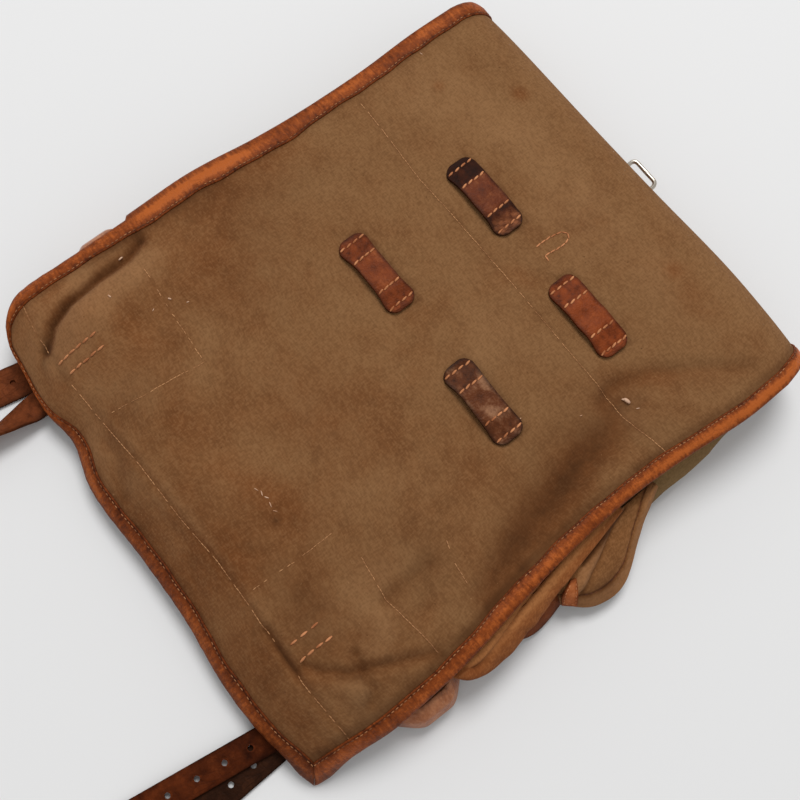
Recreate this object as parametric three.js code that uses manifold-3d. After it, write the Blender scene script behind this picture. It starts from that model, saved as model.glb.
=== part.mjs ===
// An old canvas army pack, empty and lying on its back with the flap up.
// Millimetres. +X runs across the flap, +Y towards the pack's top, +Z up through the flap.
import * as THREE from "three";
import { mergeVertices } from "three/addons/utils/BufferGeometryUtils.js";
import Module from "manifold-3d";

const wasm = await Module();
wasm.setup();
const { clamp, degToRad, lerp, radToDeg, smoothstep } = THREE.MathUtils;

// Cloth, leather and the gap between two layers that lie on each other
const CANVAS = 2.2;
const SOFT_CANVAS = 1.8;
const LEATHER = 2.2;
const GAP = 0.4;

// The flap: height of its middle, where it turns over at the top, and where it ends on the back
const FLAP_WIDTH = 366;
const FLAP_HEIGHT = 56;
const FLAP_BOTTOM_Y = -218;
const FLAP_TURN_Y = 186;
const FLAP_END_Z = 4.6;
const FLAP_END_TURN = -72;
const FLAP_LEFT_ROLL = 60;
const FLAP_RIGHT_ROLL = 42;
const FLAP_BOTTOM_ROLL = 70;
const FLAP_CORNER_LEFT = 27;
const FLAP_CORNER_RIGHT = 5;
const FLAP_STEP = 16;
const FLAP_TURN_STEPS = 9;

// The leather binding folded over the flap's edge
const BINDING_WIDTH = 13;
const BINDING_BOTTOM_IN_PLAN = 8.5;
const BINDING_RIGHT_IN_PLAN = 10.5;
const BINDING_LEATHER = 1.6;
const BINDING_NOSE = 2;
const MITRE_GAP = 0.25;
const SLOT_CLEARANCE = 0.28;
const BINDING_SHORT_OF_END = 2;

// The canvas body: a tray with soft walls on the back panel
const BODY_HALF_X = 174;
const BODY_HALF_Y = 187.4;
const BODY_MID_Y = 5.4;
const BODY_CORNER = 28;
const BODY_FLOOR_LOW = 2.9;
const BODY_FLOOR_HIGH = 4.9;
const BODY_STEPS = 60;
const BODY_RISE = { right: 0.88, left: 1.04, top: 1.04, bottom: 0.9 };

// Leather loops
const LOOP_STEPS = 14;
const SIDE_LOOP_LOW = 7.5;
const SIDE_LOOP_HIGH = 29;
const SIDE_LOOP_SPREAD = { low: 1.17, high: 0.85 };

// Straps
const CLOSURE_WIDTH = 19.5;
const STRAP_HOLE = 4;
const SHOULDER_LEATHER = 2.5;
const STRAP_TIP = 14;

// The wire ring at the top and its leather tab
const RING_WIRE = 3.4;
const RING_WIDE = 24.6;
const RING_DEEP = 20;
const RING_CORNER = 3.6;
const RING_TILT = 23;
const RING_X = -8;
const TAB_WIDE = 16;
const TAB_LEATHER = 1.6;
const TAB_TURN = { eye: -36, end: -62 };

// The flap's side edges from the bottom up: where each edge runs and how high it lies
const FLAP_SIDES = [
  { y: -220, left: -192, leftZ: 27, right: 174, rightZ: 14 },
  { y: -190, left: -193, leftZ: 33, right: 176, rightZ: 23 },
  { y: -160, left: -190, leftZ: 41, right: 179, rightZ: 33 },
  { y: -105, left: -188, leftZ: 47, right: 177, rightZ: 44 },
  { y: -50, left: -188, leftZ: 49, right: 170, rightZ: 47 },
  { y: 0, left: -183, leftZ: 50, right: 165, rightZ: 48 },
  { y: 50, left: -182, leftZ: 50, right: 163.5, rightZ: 48 },
  { y: 100, left: -182, leftZ: 50, right: 167, rightZ: 48 },
  { y: 150, left: -184, leftZ: 51, right: 173, rightZ: 49 },
  { y: 186, left: -183, leftZ: 53, right: 173, rightZ: 52 },
];

// The flap's bottom edge from left to right
const FLAP_BOTTOM = [
  { x: -195, y: -203, z: 27 },
  { x: -160, y: -206, z: 20 },
  { x: -123, y: -211, z: 15 },
  { x: -95, y: -208.5, z: 15 },
  { x: -62, y: -217.5, z: 14 },
  { x: 0, y: -218, z: 14 },
  { x: 45, y: -219.5, z: 14 },
  { x: 95, y: -225, z: 13 },
  { x: 130, y: -224.5, z: 13 },
  { x: 178, y: -216, z: 14 },
];

// The flap's edges round the top fold, by the angle that the cloth has turned
const FLAP_TURN = [
  { turn: -72, left: -162, right: 152 },
  { turn: -40, left: -168, right: 156 },
  { turn: 0, left: -176, right: 162 },
  { turn: 45, left: -181, right: 169 },
  { turn: 90, left: -183, right: 173 },
];

// How far the top fold stands out past the start of the turn
const FLAP_REACH = [
  { x: -186, reach: 27 },
  { x: -150, reach: 28.5 },
  { x: -50, reach: 30 },
  { x: 10, reach: 31.5 },
  { x: 90, reach: 34.5 },
  { x: 150, reach: 31.5 },
  { x: 173, reach: 29.5 },
];
const FLAP_END_REACH = 32;

// Dents and ridges of the flap, each along a line
const FLAP_FOLDS = [
  { x1: -163, y1: -108, x2: -168, y2: -142, wide: 12, lift: -6 },
  { x1: -166, y1: -146, x2: -143, y2: -187, wide: 12, lift: -6 },
  { x1: -140, y1: -118, x2: -140, y2: -150, wide: 15, lift: 2.5 },
  { x1: 108, y1: -104, x2: 134, y2: -150, wide: 16, lift: -3.5 },
  { x1: 134, y1: -150, x2: 160, y2: -165, wide: 14, lift: -3 },
  { x1: 118, y1: -186, x2: 158, y2: -120, wide: 14, lift: 2 },
  { x1: 70, y1: 0, x2: 168, y2: -16, wide: 42, lift: -4 },
  { x1: 102, y1: 88, x2: 155, y2: 170, wide: 16, lift: -2.5 },
  { x1: -157, y1: 188, x2: -104, y2: 155, wide: 18, lift: -2.5 },
  { x1: -170, y1: 38, x2: -160, y2: -72, wide: 18, lift: -2 },
  { x1: -105, y1: -200, x2: -88, y2: -160, wide: 15, lift: 3 },
];

// Section of the body's wall, out from the back panel's outline, up the outside and down the inside
const BODY_WALL = [
  { out: -4, z: 2.9 },
  { out: 2, z: 6 },
  { out: 5, z: 14 },
  { out: 3, z: 24 },
  { out: -4, z: 33 },
  { out: -13, z: 40 },
  { out: -14.2, z: 38.4 },
  { out: -5.6, z: 31.7 },
  { out: 1.1, z: 23.4 },
  { out: 3, z: 14.2 },
  { out: 0.4, z: 7.3 },
  { out: -4.8, z: 4.9 },
];
const BODY_WALL_OUTSIDE = BODY_WALL.slice(0, 6);

// How far the body's side walls lean out, from the bottom up
const BODY_SIDES = [
  { y: -182, left: 0, right: -5 },
  { y: -120, left: 1, right: -3 },
  { y: 0, left: 2, right: 0 },
  { y: 70, left: 3, right: 2 },
  { y: 125, left: 4, right: 5.5 },
  { y: 150, left: 3, right: 1 },
  { y: 175, left: 3, right: -6 },
  { y: 192, left: 2, right: -8 },
];

// The four leather loops on the flap
const FRONT_LOOPS = [
  { name: "front_loop_upper_left", x: -54, y: 107.5, long: 57, wide: 22, arch: 4.7, color: 0x5a2f1b },
  { name: "front_loop_lower_left", x: -55, y: 13, long: 57, wide: 21, arch: 4.7, color: 0x6b3a1e },
  { name: "front_loop_upper_right", x: 55, y: 107, long: 58, wide: 22, arch: 4.7, color: 0x7a4522 },
  { name: "front_loop_lower_right", x: 57, y: 13, long: 58, wide: 21, arch: 5.8, color: 0x56301c },
];

// The leather loops on the body's sides
const SIDE_LOOPS = [
  { name: "side_loop_left", side: -1, y: -116, long: 72, bow: 23 },
  { name: "side_loop_right", side: 1, y: -131, long: 71, bow: 15 },
];

// The canvas side flap that rolls out over the right wall: its outermost line and its lower edge
const SIDE_FLAP = [
  { y: -113, out: 177, low: 34 },
  { y: -104, out: 186, low: 30 },
  { y: -94, out: 191, low: 22 },
  { y: -84, out: 192, low: 17 },
  { y: -70, out: 191, low: 16.5 },
  { y: -50, out: 187.5, low: 20 },
  { y: -31, out: 184, low: 25 },
  { y: -20, out: 181.5, low: 30 },
  { y: -8, out: 178.5, low: 33.5 },
  { y: 20, out: 173, low: 35.6 },
  { y: 44, out: 168, low: 36.4 },
];
const SIDE_FLAP_ROOT = { x: 155, z: 36.9 };
const SIDE_FLAP_CREST = 37.3;

// The round canvas ear on the right: its outer edge
const SIDE_EAR = [
  { y: -23, out: 190, low: 13 },
  { y: -9, out: 203, low: 11 },
  { y: 3, out: 207.5, low: 10 },
  { y: 14, out: 208, low: 10 },
  { y: 25, out: 204.5, low: 12 },
  { y: 36, out: 196, low: 17 },
  { y: 50, out: 186, low: 23 },
  { y: 64, out: 177, low: 28 },
  { y: 74, out: 172, low: 31 },
];
const SIDE_EAR_ROOT = { x: 167.2, z: 33.7 };
const SIDE_EAR_BELLY = 4;

// The leather triangle on the ear's lower corner: how far along the ear each row of it reaches
const EAR_PATCH = [
  { down: 0.38, from: 7, to: 13.5 },
  { down: 0.62, from: 2, to: 10 },
  { down: 0.88, from: 1, to: 5 },
];

// The leather strap under the side flap: its upper edge on the wall and its lower edge
const SIDE_STRAP = [
  { y: -68, out: 184, low: 10 },
  { y: -58, out: 191, low: 6 },
  { y: -48, out: 194, low: 5 },
  { y: -34, out: 193, low: 5 },
  { y: -23, out: 190, low: 6 },
];
const SIDE_STRAP_TOP = 21;

// The closure straps: how far each reaches up under the flap and lies below it, then its free tail
const CLOSURE_UNDER_FLAP = 50;
const CLOSURE_BELOW_FLAP = 6;
const CLOSURE_STEPS_UNDER_FLAP = 8;
const CLOSURE_STRAPS = [
  {
    name: "closure_strap_left",
    x: -131,
    lean: 0.03,
    holes: [],
    tail: [
      { y: -219, z: 7.6, roll: 8 },
      { y: -228, z: 8.4, roll: 28 },
      { y: -239, z: 9, roll: 44 },
      { y: -250, z: 9.6, roll: 58 },
      { y: -270, z: 8.6, roll: 44 },
      { y: -296, z: 4.5, roll: 12 },
      { y: -318, z: 1.6, roll: 0 },
    ],
  },
  {
    name: "closure_strap_right",
    x: 145.8,
    lean: 0.172,
    holes: [-237, -255, -274, -294, -313],
    tail: [
      { y: -228, z: 5.3, roll: 0 },
      { y: -237, z: 4.5, roll: 0 },
      { y: -250, z: 4.5, roll: 0 },
      { y: -270, z: 4.4, roll: 0 },
      { y: -292, z: 4, roll: 0 },
      { y: -315, z: 2, roll: 0 },
      { y: -335, z: 1.4, roll: 0 },
    ],
  },
];
const CLOSURE_START_Y = -170;

// The shoulder straps flat under the back, from the upper back down to their free tails
const SHOULDER_STRAPS = [
  {
    name: "shoulder_strap_left",
    holes: [-219, -238, -257, -276],
    run: [
      { y: -302, x: -171, wide: 25 },
      { y: -250, x: -164, wide: 25 },
      { y: -205, x: -155, wide: 25 },
      { y: -150, x: -140, wide: 30 },
      { y: -60, x: -103, wide: 34 },
      { y: 60, x: -62, wide: 36 },
      { y: 150, x: -44, wide: 36 },
    ],
  },
  {
    name: "shoulder_strap_right",
    holes: [-242, -260, -278, -296],
    run: [
      { y: -312, x: 145.5, wide: 22 },
      { y: -250, x: 144, wide: 22 },
      { y: -205, x: 142.5, wide: 22 },
      { y: -150, x: 132, wide: 28 },
      { y: -60, x: 98, wide: 34 },
      { y: 60, x: 60, wide: 36 },
      { y: 150, x: 44, wide: 36 },
    ],
  },
];

// A smooth curve through one column of a table, held at its end values past the ends.
function column(rows, key, name) {
  const first = rows[0][key];
  const last = rows[rows.length - 1][key];
  const curve = new THREE.CubicInterpolant(rows.map((row) => row[key]), rows.map((row) => row[name]), 1);
  return (at) => curve.evaluate(clamp(at, first, last))[0];
}

const flapLeft = column(FLAP_SIDES, "y", "left");
const flapLeftZ = column(FLAP_SIDES, "y", "leftZ");
const flapRight = column(FLAP_SIDES, "y", "right");
const flapRightZ = column(FLAP_SIDES, "y", "rightZ");
const flapBottom = column(FLAP_BOTTOM, "x", "y");
const flapBottomZ = column(FLAP_BOTTOM, "x", "z");
const turnLeft = column(FLAP_TURN, "turn", "left");
const turnRight = column(FLAP_TURN, "turn", "right");
const flapReach = column(FLAP_REACH, "x", "reach");
const bodyLeanLeft = column(BODY_SIDES, "y", "left");
const bodyLeanRight = column(BODY_SIDES, "y", "right");

// How far the outside of a wall stands out at a height, along the straight facets of its section.
function bodyWallOut(z) {
  const upper = BODY_WALL_OUTSIDE.findIndex((row) => row.z > z);
  const low = BODY_WALL_OUTSIDE[upper - 1];
  const high = BODY_WALL_OUTSIDE[upper];
  return lerp(low.out, high.out, (z - low.z) / (high.z - low.z));
}

// Evenly spaced values from one end to the other, both included.
function spaced(from, to, steps) {
  return Array.from({ length: steps + 1 }, (_, i) => lerp(from, to, i / steps));
}

// Moves every vertex of a closed geometry, welds it, drops collapsed triangles and turns its faces out.
function shaped(geometry, place) {
  const position = geometry.attributes.position;
  for (let i = 0; i < position.count; i += 1) {
    const moved = place(position.getX(i), position.getY(i), position.getZ(i), i);
    position.setXYZ(i, moved.x, moved.y, moved.z);
  }
  geometry.deleteAttribute("normal");
  geometry.deleteAttribute("uv");
  const welded = mergeVertices(geometry, 1e-3);
  const corners = welded.index.array;
  const kept = [];
  for (let i = 0; i < corners.length; i += 3) {
    const [a, b, c] = corners.subarray(i, i + 3);
    if (a !== b && b !== c && c !== a) {
      kept.push(a, b, c);
    }
  }
  return facingOut(welded, kept);
}

// Sets the triangles of a geometry so that the body they close has a positive volume.
function facingOut(geometry, triangles) {
  const at = (i) => new THREE.Vector3().fromBufferAttribute(geometry.attributes.position, i);
  let volume = 0;
  for (let i = 0; i < triangles.length; i += 3) {
    volume += at(triangles[i]).dot(at(triangles[i + 1]).cross(at(triangles[i + 2])));
  }
  const turned = volume > 0 ? triangles : triangles.toReversed();
  geometry.setIndex(turned);
  geometry.computeVertexNormals();
  return geometry;
}

// A sheet of even thickness over a surface that is known at each pair of stations.
function sheet(across, along, thick, surface) {
  const box = new THREE.BoxGeometry(1, 1, 1, across.length - 1, along.length - 1, 1);
  return shaped(box, (x, y, z) => {
    const i = Math.round((x + 0.5) * (across.length - 1));
    const j = Math.round((y + 0.5) * (along.length - 1));
    const { point, normal } = surface(across[i], along[j]);
    return point.clone().addScaledVector(normal, z * thick);
  });
}

// The point and normal of a surface given as a function of two parameters.
function withNormal(position, u, v, du, dv) {
  const point = position(u, v);
  const alongU = position(u + du, v).sub(position(u - du, v));
  const alongV = position(u, v + dv).sub(position(u, v - dv));
  return { point, normal: alongU.cross(alongV).normalize() };
}

function toSolid(geometry) {
  const plain = geometry.clone();
  plain.deleteAttribute("normal");
  plain.deleteAttribute("uv");
  const welded = mergeVertices(plain, 1e-4);
  const vertProperties = Float32Array.from(welded.attributes.position.array);
  const triVerts = Uint32Array.from(welded.index.array);
  return new wasm.Manifold(new wasm.Mesh({ numProp: 3, vertProperties, triVerts }));
}

function fromSolid(solid) {
  const mesh = solid.getMesh();
  const geometry = new THREE.BufferGeometry();
  geometry.setAttribute("position", new THREE.BufferAttribute(mesh.vertProperties, 3));
  geometry.setIndex([...mesh.triVerts]);
  geometry.computeVertexNormals();
  return geometry;
}

// Evenly spaced points and outward directions round a rectangle with round corners, from +X on.
function roundRectangle(halfX, halfY, radius, steps) {
  const path = new THREE.Path();
  path.moveTo(halfX, 0);
  path.lineTo(halfX, halfY - radius);
  path.absarc(halfX - radius, halfY - radius, radius, 0, Math.PI / 2);
  path.lineTo(radius - halfX, halfY);
  path.absarc(radius - halfX, halfY - radius, radius, Math.PI / 2, Math.PI);
  path.lineTo(-halfX, radius - halfY);
  path.absarc(radius - halfX, radius - halfY, radius, Math.PI, 1.5 * Math.PI);
  path.lineTo(halfX - radius, -halfY);
  path.absarc(halfX - radius, radius - halfY, radius, 1.5 * Math.PI, 2 * Math.PI);
  path.lineTo(halfX, 0);
  const points = path.getSpacedPoints(steps).slice(0, steps);
  return points.map((point, i) => {
    const ahead = points[(i + 1) % steps].clone().sub(points[(i + steps - 1) % steps]).normalize();
    return { point, outward: new THREE.Vector2(ahead.y, -ahead.x) };
  });
}

// Distance in plan from a point to a fold's line.
function distanceToFold(x, y, fold) {
  const dx = fold.x2 - fold.x1;
  const dy = fold.y2 - fold.y1;
  const share = clamp(((x - fold.x1) * dx + (y - fold.y1) * dy) / (dx * dx + dy * dy), 0, 1);
  return Math.hypot(x - fold.x1 - share * dx, y - fold.y1 - share * dy);
}

// Height of the flap's middle surface over the front: flat, with its folds, rolled down at three edges.
function flapHeight(x, y) {
  let height = FLAP_HEIGHT;
  const keep = 1 - smoothstep(y, FLAP_TURN_Y - 25, FLAP_TURN_Y);
  for (const fold of FLAP_FOLDS) {
    height += keep * fold.lift * Math.exp(-((distanceToFold(x, y, fold) / fold.wide) ** 2));
  }
  const edges = [
    { inside: x - flapLeft(y), roll: FLAP_LEFT_ROLL, low: flapLeftZ(y) },
    { inside: flapRight(y) - x, roll: FLAP_RIGHT_ROLL, low: flapRightZ(y) },
    { inside: y - flapBottom(x), roll: FLAP_BOTTOM_ROLL, low: flapBottomZ(x) },
  ];
  const drops = edges.map(({ inside, roll, low }) => {
    const share = clamp(1 - inside / roll, 0, 1.2);
    return share * share * Math.max(height - low, 0);
  });
  return height - drops.reduce((sum, drop) => sum + drop ** 4, 0) ** 0.25;
}

// Pulls the square corner of a grid in to a round one, from the distances to its two edges.
function roundCorner(dx, dy, radius) {
  if (dx >= radius || dy >= radius) {
    return [dx, dy];
  }
  const p = 1 - dx / radius;
  const q = 1 - dy / radius;
  return [radius * (1 - p * Math.sqrt(1 - (q * q) / 2)), radius * (1 - q * Math.sqrt(1 - (p * p) / 2))];
}

const FLAP_FRONT = FLAP_TURN_Y - FLAP_BOTTOM_Y;

// A point of the flap's front and its normal, by the distances from its left edge and from its bottom edge.
function flapFront(across, up) {
  let [dx, dy] = roundCorner(across, up, FLAP_CORNER_LEFT);
  const [fromRight, dyRight] = roundCorner(FLAP_WIDTH - dx, dy, FLAP_CORNER_RIGHT);
  dx = FLAP_WIDTH - fromRight;
  dy = dyRight;
  const level = FLAP_BOTTOM_Y + dy;
  const x = lerp(flapLeft(level), flapRight(level), dx / FLAP_WIDTH);
  const y = lerp(flapBottom(x), FLAP_TURN_Y, dy / FLAP_FRONT);
  return onFlapFront(x, y);
}

// A point of the flap's front and its normal, by its place in plan.
function onFlapFront(x, y) {
  const h = 0.5;
  const slopeX = (flapHeight(x + h, y) - flapHeight(x - h, y)) / (2 * h);
  const slopeY = (flapHeight(x, y + h) - flapHeight(x, y - h)) / (2 * h);
  const normal = new THREE.Vector3(-slopeX, -slopeY, 1).normalize();
  return { point: new THREE.Vector3(x, y, flapHeight(x, y)), normal };
}

// A point of the flap where it turns over at the top.
function flapTurn(across, turn) {
  const x = lerp(turnLeft(turn), turnRight(turn), across / FLAP_WIDTH);
  const top = flapHeight(x, FLAP_TURN_Y);
  const reach = lerp(FLAP_END_REACH, flapReach(x), smoothstep(turn, -60, 10));
  const angle = degToRad(turn);
  const y = FLAP_TURN_Y + reach * Math.cos(angle);
  const z = (top + FLAP_END_Z) / 2 + ((top - FLAP_END_Z) / 2) * Math.sin(angle);
  return new THREE.Vector3(x, y, z);
}

// A point of the whole flap and its normal, by its stations across and along.
function flapAt(across, along) {
  if (along <= FLAP_FRONT) {
    return flapFront(across, along);
  }
  const turn = 90 - (along - FLAP_FRONT) * TURN_PER_RUN;
  return withNormal((u, v) => flapTurn(clamp(u, 0, FLAP_WIDTH), -v), across, -turn, 1, 1);
}

const TURN_RUN = FLAP_STEP * FLAP_TURN_STEPS;
const TURN_PER_RUN = (90 - FLAP_END_TURN) / TURN_RUN;
const acrossSteps = Math.round((FLAP_WIDTH - BINDING_WIDTH - BINDING_RIGHT_IN_PLAN) / FLAP_STEP);
const frontSteps = Math.round((FLAP_FRONT - BINDING_BOTTOM_IN_PLAN) / FLAP_STEP);
const FLAP_ACROSS = [
  0,
  ...spaced(BINDING_WIDTH, FLAP_WIDTH - BINDING_RIGHT_IN_PLAN, acrossSteps),
  FLAP_WIDTH,
];
const FLAP_ALONG = [
  0,
  ...spaced(BINDING_BOTTOM_IN_PLAN, FLAP_FRONT, frontSteps),
  ...spaced(FLAP_FRONT, FLAP_FRONT + TURN_RUN, FLAP_TURN_STEPS).slice(1),
];

// One station of the binding: the flap's edge there, and the line that the binding's lip reaches.
function edgeStation(i, j, inI, inJ) {
  return {
    edge: flapAt(FLAP_ACROSS[i], FLAP_ALONG[j]),
    lip: flapAt(FLAP_ACROSS[inI], FLAP_ALONG[inJ]),
  };
}

// A station moved a little towards the next one, to leave the mitre open by a hair.
function shifted(station, next, gap) {
  const move = (from, to) => {
    const share = gap / from.point.distanceTo(to.point);
    return { point: from.point.clone().lerp(to.point, share), normal: from.normal };
  };
  return { edge: move(station.edge, next.edge), lip: move(station.lip, next.lip) };
}

function leftAndBottomStations() {
  const lastI = FLAP_ACROSS.length - 1;
  const lastJ = FLAP_ALONG.length - 1 - BINDING_SHORT_OF_END;
  const stations = [];
  for (let j = lastJ; j >= 1; j -= 1) {
    stations.push(edgeStation(0, j, 1, j));
  }
  stations.push(edgeStation(0, 0, 1, 1));
  for (let i = 1; i < lastI; i += 1) {
    stations.push(edgeStation(i, 0, i, 1));
  }
  const mitre = edgeStation(lastI, 0, lastI - 1, 1);
  const before = edgeStation(lastI - 1, 0, lastI - 2, 1);
  stations[stations.length - 1] = edgeStation(lastI - 1, 0, lastI - 1, 1);
  stations[stations.length - 1].lip = shifted(mitre, before, MITRE_GAP).lip;
  stations.push(shifted(mitre, before, MITRE_GAP));
  return stations;
}

function rightStations() {
  const lastI = FLAP_ACROSS.length - 1;
  const lastJ = FLAP_ALONG.length - 1 - BINDING_SHORT_OF_END;
  const mitre = edgeStation(lastI, 0, lastI - 1, 1);
  const next = edgeStation(lastI, 1, lastI - 1, 2);
  const stations = [shifted(mitre, next, MITRE_GAP), edgeStation(lastI, 1, lastI - 1, 1)];
  stations[1].lip = stations[0].lip;
  for (let j = 2; j <= lastJ; j += 1) {
    stations.push(edgeStation(lastI, j, lastI - 1, j));
  }
  return stations;
}

// A strip of leather folded over the flap's edge, with a slot that holds the cloth.
function binding(stations) {
  const slot = CANVAS / 2 + GAP;
  const face = slot + BINDING_LEATHER;
  const section = new THREE.Shape();
  section.moveTo(BINDING_WIDTH, slot);
  section.lineTo(BINDING_WIDTH, face);
  section.lineTo(-BINDING_NOSE / 2, face);
  section.lineTo(-BINDING_NOSE, slot);
  section.lineTo(-BINDING_NOSE, -slot);
  section.lineTo(-BINDING_NOSE / 2, -face);
  section.lineTo(BINDING_WIDTH, -face);
  section.lineTo(BINDING_WIDTH, -slot);
  section.lineTo(-GAP, -slot);
  section.lineTo(-GAP, slot);
  const steps = stations.length - 1;
  const strip = new THREE.ExtrudeGeometry(section, { depth: 1, steps, bevelEnabled: false });
  const folded = shaped(strip, (inward, height, share) => {
    const { edge, lip } = stations[Math.round(share * steps)];
    const inDirection = lip.point.clone().sub(edge.point);
    const part = inward < 0 ? inward / inDirection.length() : inward / BINDING_WIDTH;
    const normal = edge.normal.clone().lerp(lip.normal, Math.max(part, 0));
    return edge.point.clone().addScaledVector(inDirection, part).addScaledVector(normal, height);
  });
  return fromSolid(toSolid(folded).subtract(flapWithClearance));
}

// The flap a little thicker all over, to keep the binding's slot clear of the cloth.
const flapWithClearance = toSolid(sheet(FLAP_ACROSS, FLAP_ALONG, CANVAS + 2 * SLOT_CLEARANCE, flapAt));

// The body's outline, walls and floor, turned round the middle of the back panel.
function bodyTray() {
  const rows = [{ z: BODY_FLOOR_LOW }, ...BODY_WALL, { z: BODY_FLOOR_HIGH }];
  const profile = rows.map((row) => new THREE.Vector2(row.out === undefined ? 0 : BODY_HALF_X + row.out, row.z));
  const outline = roundRectangle(BODY_HALF_X, BODY_HALF_Y, BODY_CORNER, BODY_STEPS);
  return shaped(new THREE.LatheGeometry(profile, BODY_STEPS), (x, y, z, i) => {
    const row = rows[i % rows.length];
    if (row.out === undefined) {
      return new THREE.Vector3(0, BODY_MID_Y, row.z);
    }
    const { point, outward } = outline[Math.floor(i / rows.length) % BODY_STEPS];
    const place = point.clone().addScaledVector(outward, row.out);
    const level = place.y + BODY_MID_Y;
    const lean = place.x > 0 ? bodyLeanRight(level) : -bodyLeanLeft(level);
    const leaning = lean * Math.abs(outward.x) ** 3 * smoothstep(row.z, BODY_FLOOR_LOW, 8);
    return new THREE.Vector3(place.x + leaning, level, BODY_FLOOR_LOW + (row.z - BODY_FLOOR_LOW) * rise(outward));
  });
}

// How high a wall stands that faces a given way.
function rise(outward) {
  const sideways = outward.x > 0 ? BODY_RISE.right : BODY_RISE.left;
  const endways = outward.y > 0 ? BODY_RISE.top : BODY_RISE.bottom;
  return sideways * outward.x ** 2 + endways * outward.y ** 2;
}

// A stitched loop on the flap: flat at its ends, arched in the middle.
function frontLoop({ x, y, long, wide, arch }) {
  const lift = CANVAS / 2 + GAP + LEATHER / 2;
  return sheet(spaced(-0.5, 0.5, LOOP_STEPS), spaced(-0.5, 0.5, 2), LEATHER, (along, side) => {
    const raised = smoothstep(0.5 - Math.abs(along), 0.1, 0.27);
    const px = x + along * long;
    const py = y + side * wide * (1 - 0.06 * raised);
    const flat = onFlapFront(x, y).normal;
    const height = flapHeight(px, py) + lift / flat.z + arch * raised;
    return { point: new THREE.Vector3(px, py, height), normal: flat };
  });
}

// A loop that bows out from the body's side wall and lies on the wall at its two ends.
function sideLoop({ side, y, long, bow }) {
  const lean = side > 0 ? bodyLeanRight : bodyLeanLeft;
  const height = side > 0 ? BODY_RISE.right : BODY_RISE.left;
  const place = (along, z) => {
    const upward = (z - SIDE_LOOP_LOW) / (SIDE_LOOP_HIGH - SIDE_LOOP_LOW);
    const spread = lerp(SIDE_LOOP_SPREAD.low, SIDE_LOOP_SPREAD.high, upward);
    const bowed = bow * spread * smoothstep(0.5 - Math.abs(along), 0.05, 0.34);
    const wall = BODY_HALF_X + bodyWallOut(BODY_FLOOR_LOW + (z - BODY_FLOOR_LOW) / height);
    const out = wall + lean(y + along * long) + 2 * GAP + LEATHER / 2;
    return new THREE.Vector3(side * (out + bowed), y + along * long, z);
  };
  const onFacets = BODY_WALL_OUTSIDE.map((row) => BODY_FLOOR_LOW + (row.z - BODY_FLOOR_LOW) * height);
  const inside = onFacets.filter((z) => z > SIDE_LOOP_LOW + 1 && z < SIDE_LOOP_HIGH - 1);
  const heights = [SIDE_LOOP_LOW, ...inside, SIDE_LOOP_HIGH];
  return sheet(spaced(-0.5, 0.5, LOOP_STEPS), heights, LEATHER, (along, z) => {
    return withNormal((u, v) => place(u, v), along, z, 0.01, 0.5);
  });
}

// A cloth piece on the right wall: each row of its table is a section from its root to its lower edge.
function hanging(rows, section, thick, yStations, downStations) {
  const out = column(rows, "y", "out");
  const low = column(rows, "y", "low");
  const place = (y, down) => {
    const curve = new THREE.SplineCurve(section(out(y), low(y)));
    const at = curve.getPoint(clamp(down, 0, 1));
    return new THREE.Vector3(at.x, y, at.y);
  };
  const surface = (y, down) => withNormal(place, y, down, 0.5, 0.02);
  return { surface, geometry: sheet(yStations, downStations, thick, surface) };
}

function sideFlapSection(out, low) {
  const crest = SIDE_FLAP_CREST;
  return [
    new THREE.Vector2(SIDE_FLAP_ROOT.x, SIDE_FLAP_ROOT.z),
    new THREE.Vector2(lerp(SIDE_FLAP_ROOT.x, out, 0.42), crest),
    new THREE.Vector2(lerp(SIDE_FLAP_ROOT.x, out, 0.75), lerp(low, crest, 0.95)),
    new THREE.Vector2(out, lerp(low, crest, 0.55)),
    new THREE.Vector2(out - 1.5, low),
  ];
}

function sideEarSection(out, low) {
  const { x, z } = SIDE_EAR_ROOT;
  return [
    new THREE.Vector2(x, z),
    new THREE.Vector2(lerp(x, out, 0.35), lerp(z, low, 0.35) + SIDE_EAR_BELLY * 0.6),
    new THREE.Vector2(lerp(x, out, 0.7), lerp(z, low, 0.7) + SIDE_EAR_BELLY),
    new THREE.Vector2(out, low),
  ];
}

// The leather triangle laid on the ear's lower corner.
function earPatch(earSurface) {
  const from = column(EAR_PATCH, "down", "from");
  const to = column(EAR_PATCH, "down", "to");
  const lift = SOFT_CANVAS / 2 + GAP + LEATHER / 2;
  const first = EAR_PATCH[0].down;
  const last = EAR_PATCH[EAR_PATCH.length - 1].down;
  return sheet(spaced(0, 1, 3), spaced(first, last, 6), LEATHER, (share, down) => {
    const y = SIDE_EAR[0].y + lerp(from(down), to(down), share);
    const { point, normal } = earSurface(y, down);
    const up = normal.z > 0 ? normal : normal.negate();
    return { point: point.addScaledVector(up, lift), normal: up };
  });
}

// The leather strap under the side flap, its upper edge against the wall.
function sideStrap() {
  const out = column(SIDE_STRAP, "y", "out");
  const low = column(SIDE_STRAP, "y", "low");
  const wallX = BODY_HALF_X + bodyWallOut(BODY_FLOOR_LOW + (SIDE_STRAP_TOP - BODY_FLOOR_LOW) / BODY_RISE.right);
  const top = new THREE.Vector2(wallX + LEATHER / 2, SIDE_STRAP_TOP);
  const place = (y, down) => {
    const bow = 1.5 * Math.sin(Math.PI * clamp(down, 0, 1));
    return new THREE.Vector3(lerp(top.x, out(y), down) + bow, y, lerp(top.y, low(y), down) + bow);
  };
  const ys = spaced(SIDE_STRAP[0].y, SIDE_STRAP[SIDE_STRAP.length - 1].y, 10);
  return sheet(ys, spaced(0, 1, 4), LEATHER, (y, down) => withNormal(place, y, down, 0.5, 0.02));
}

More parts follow.
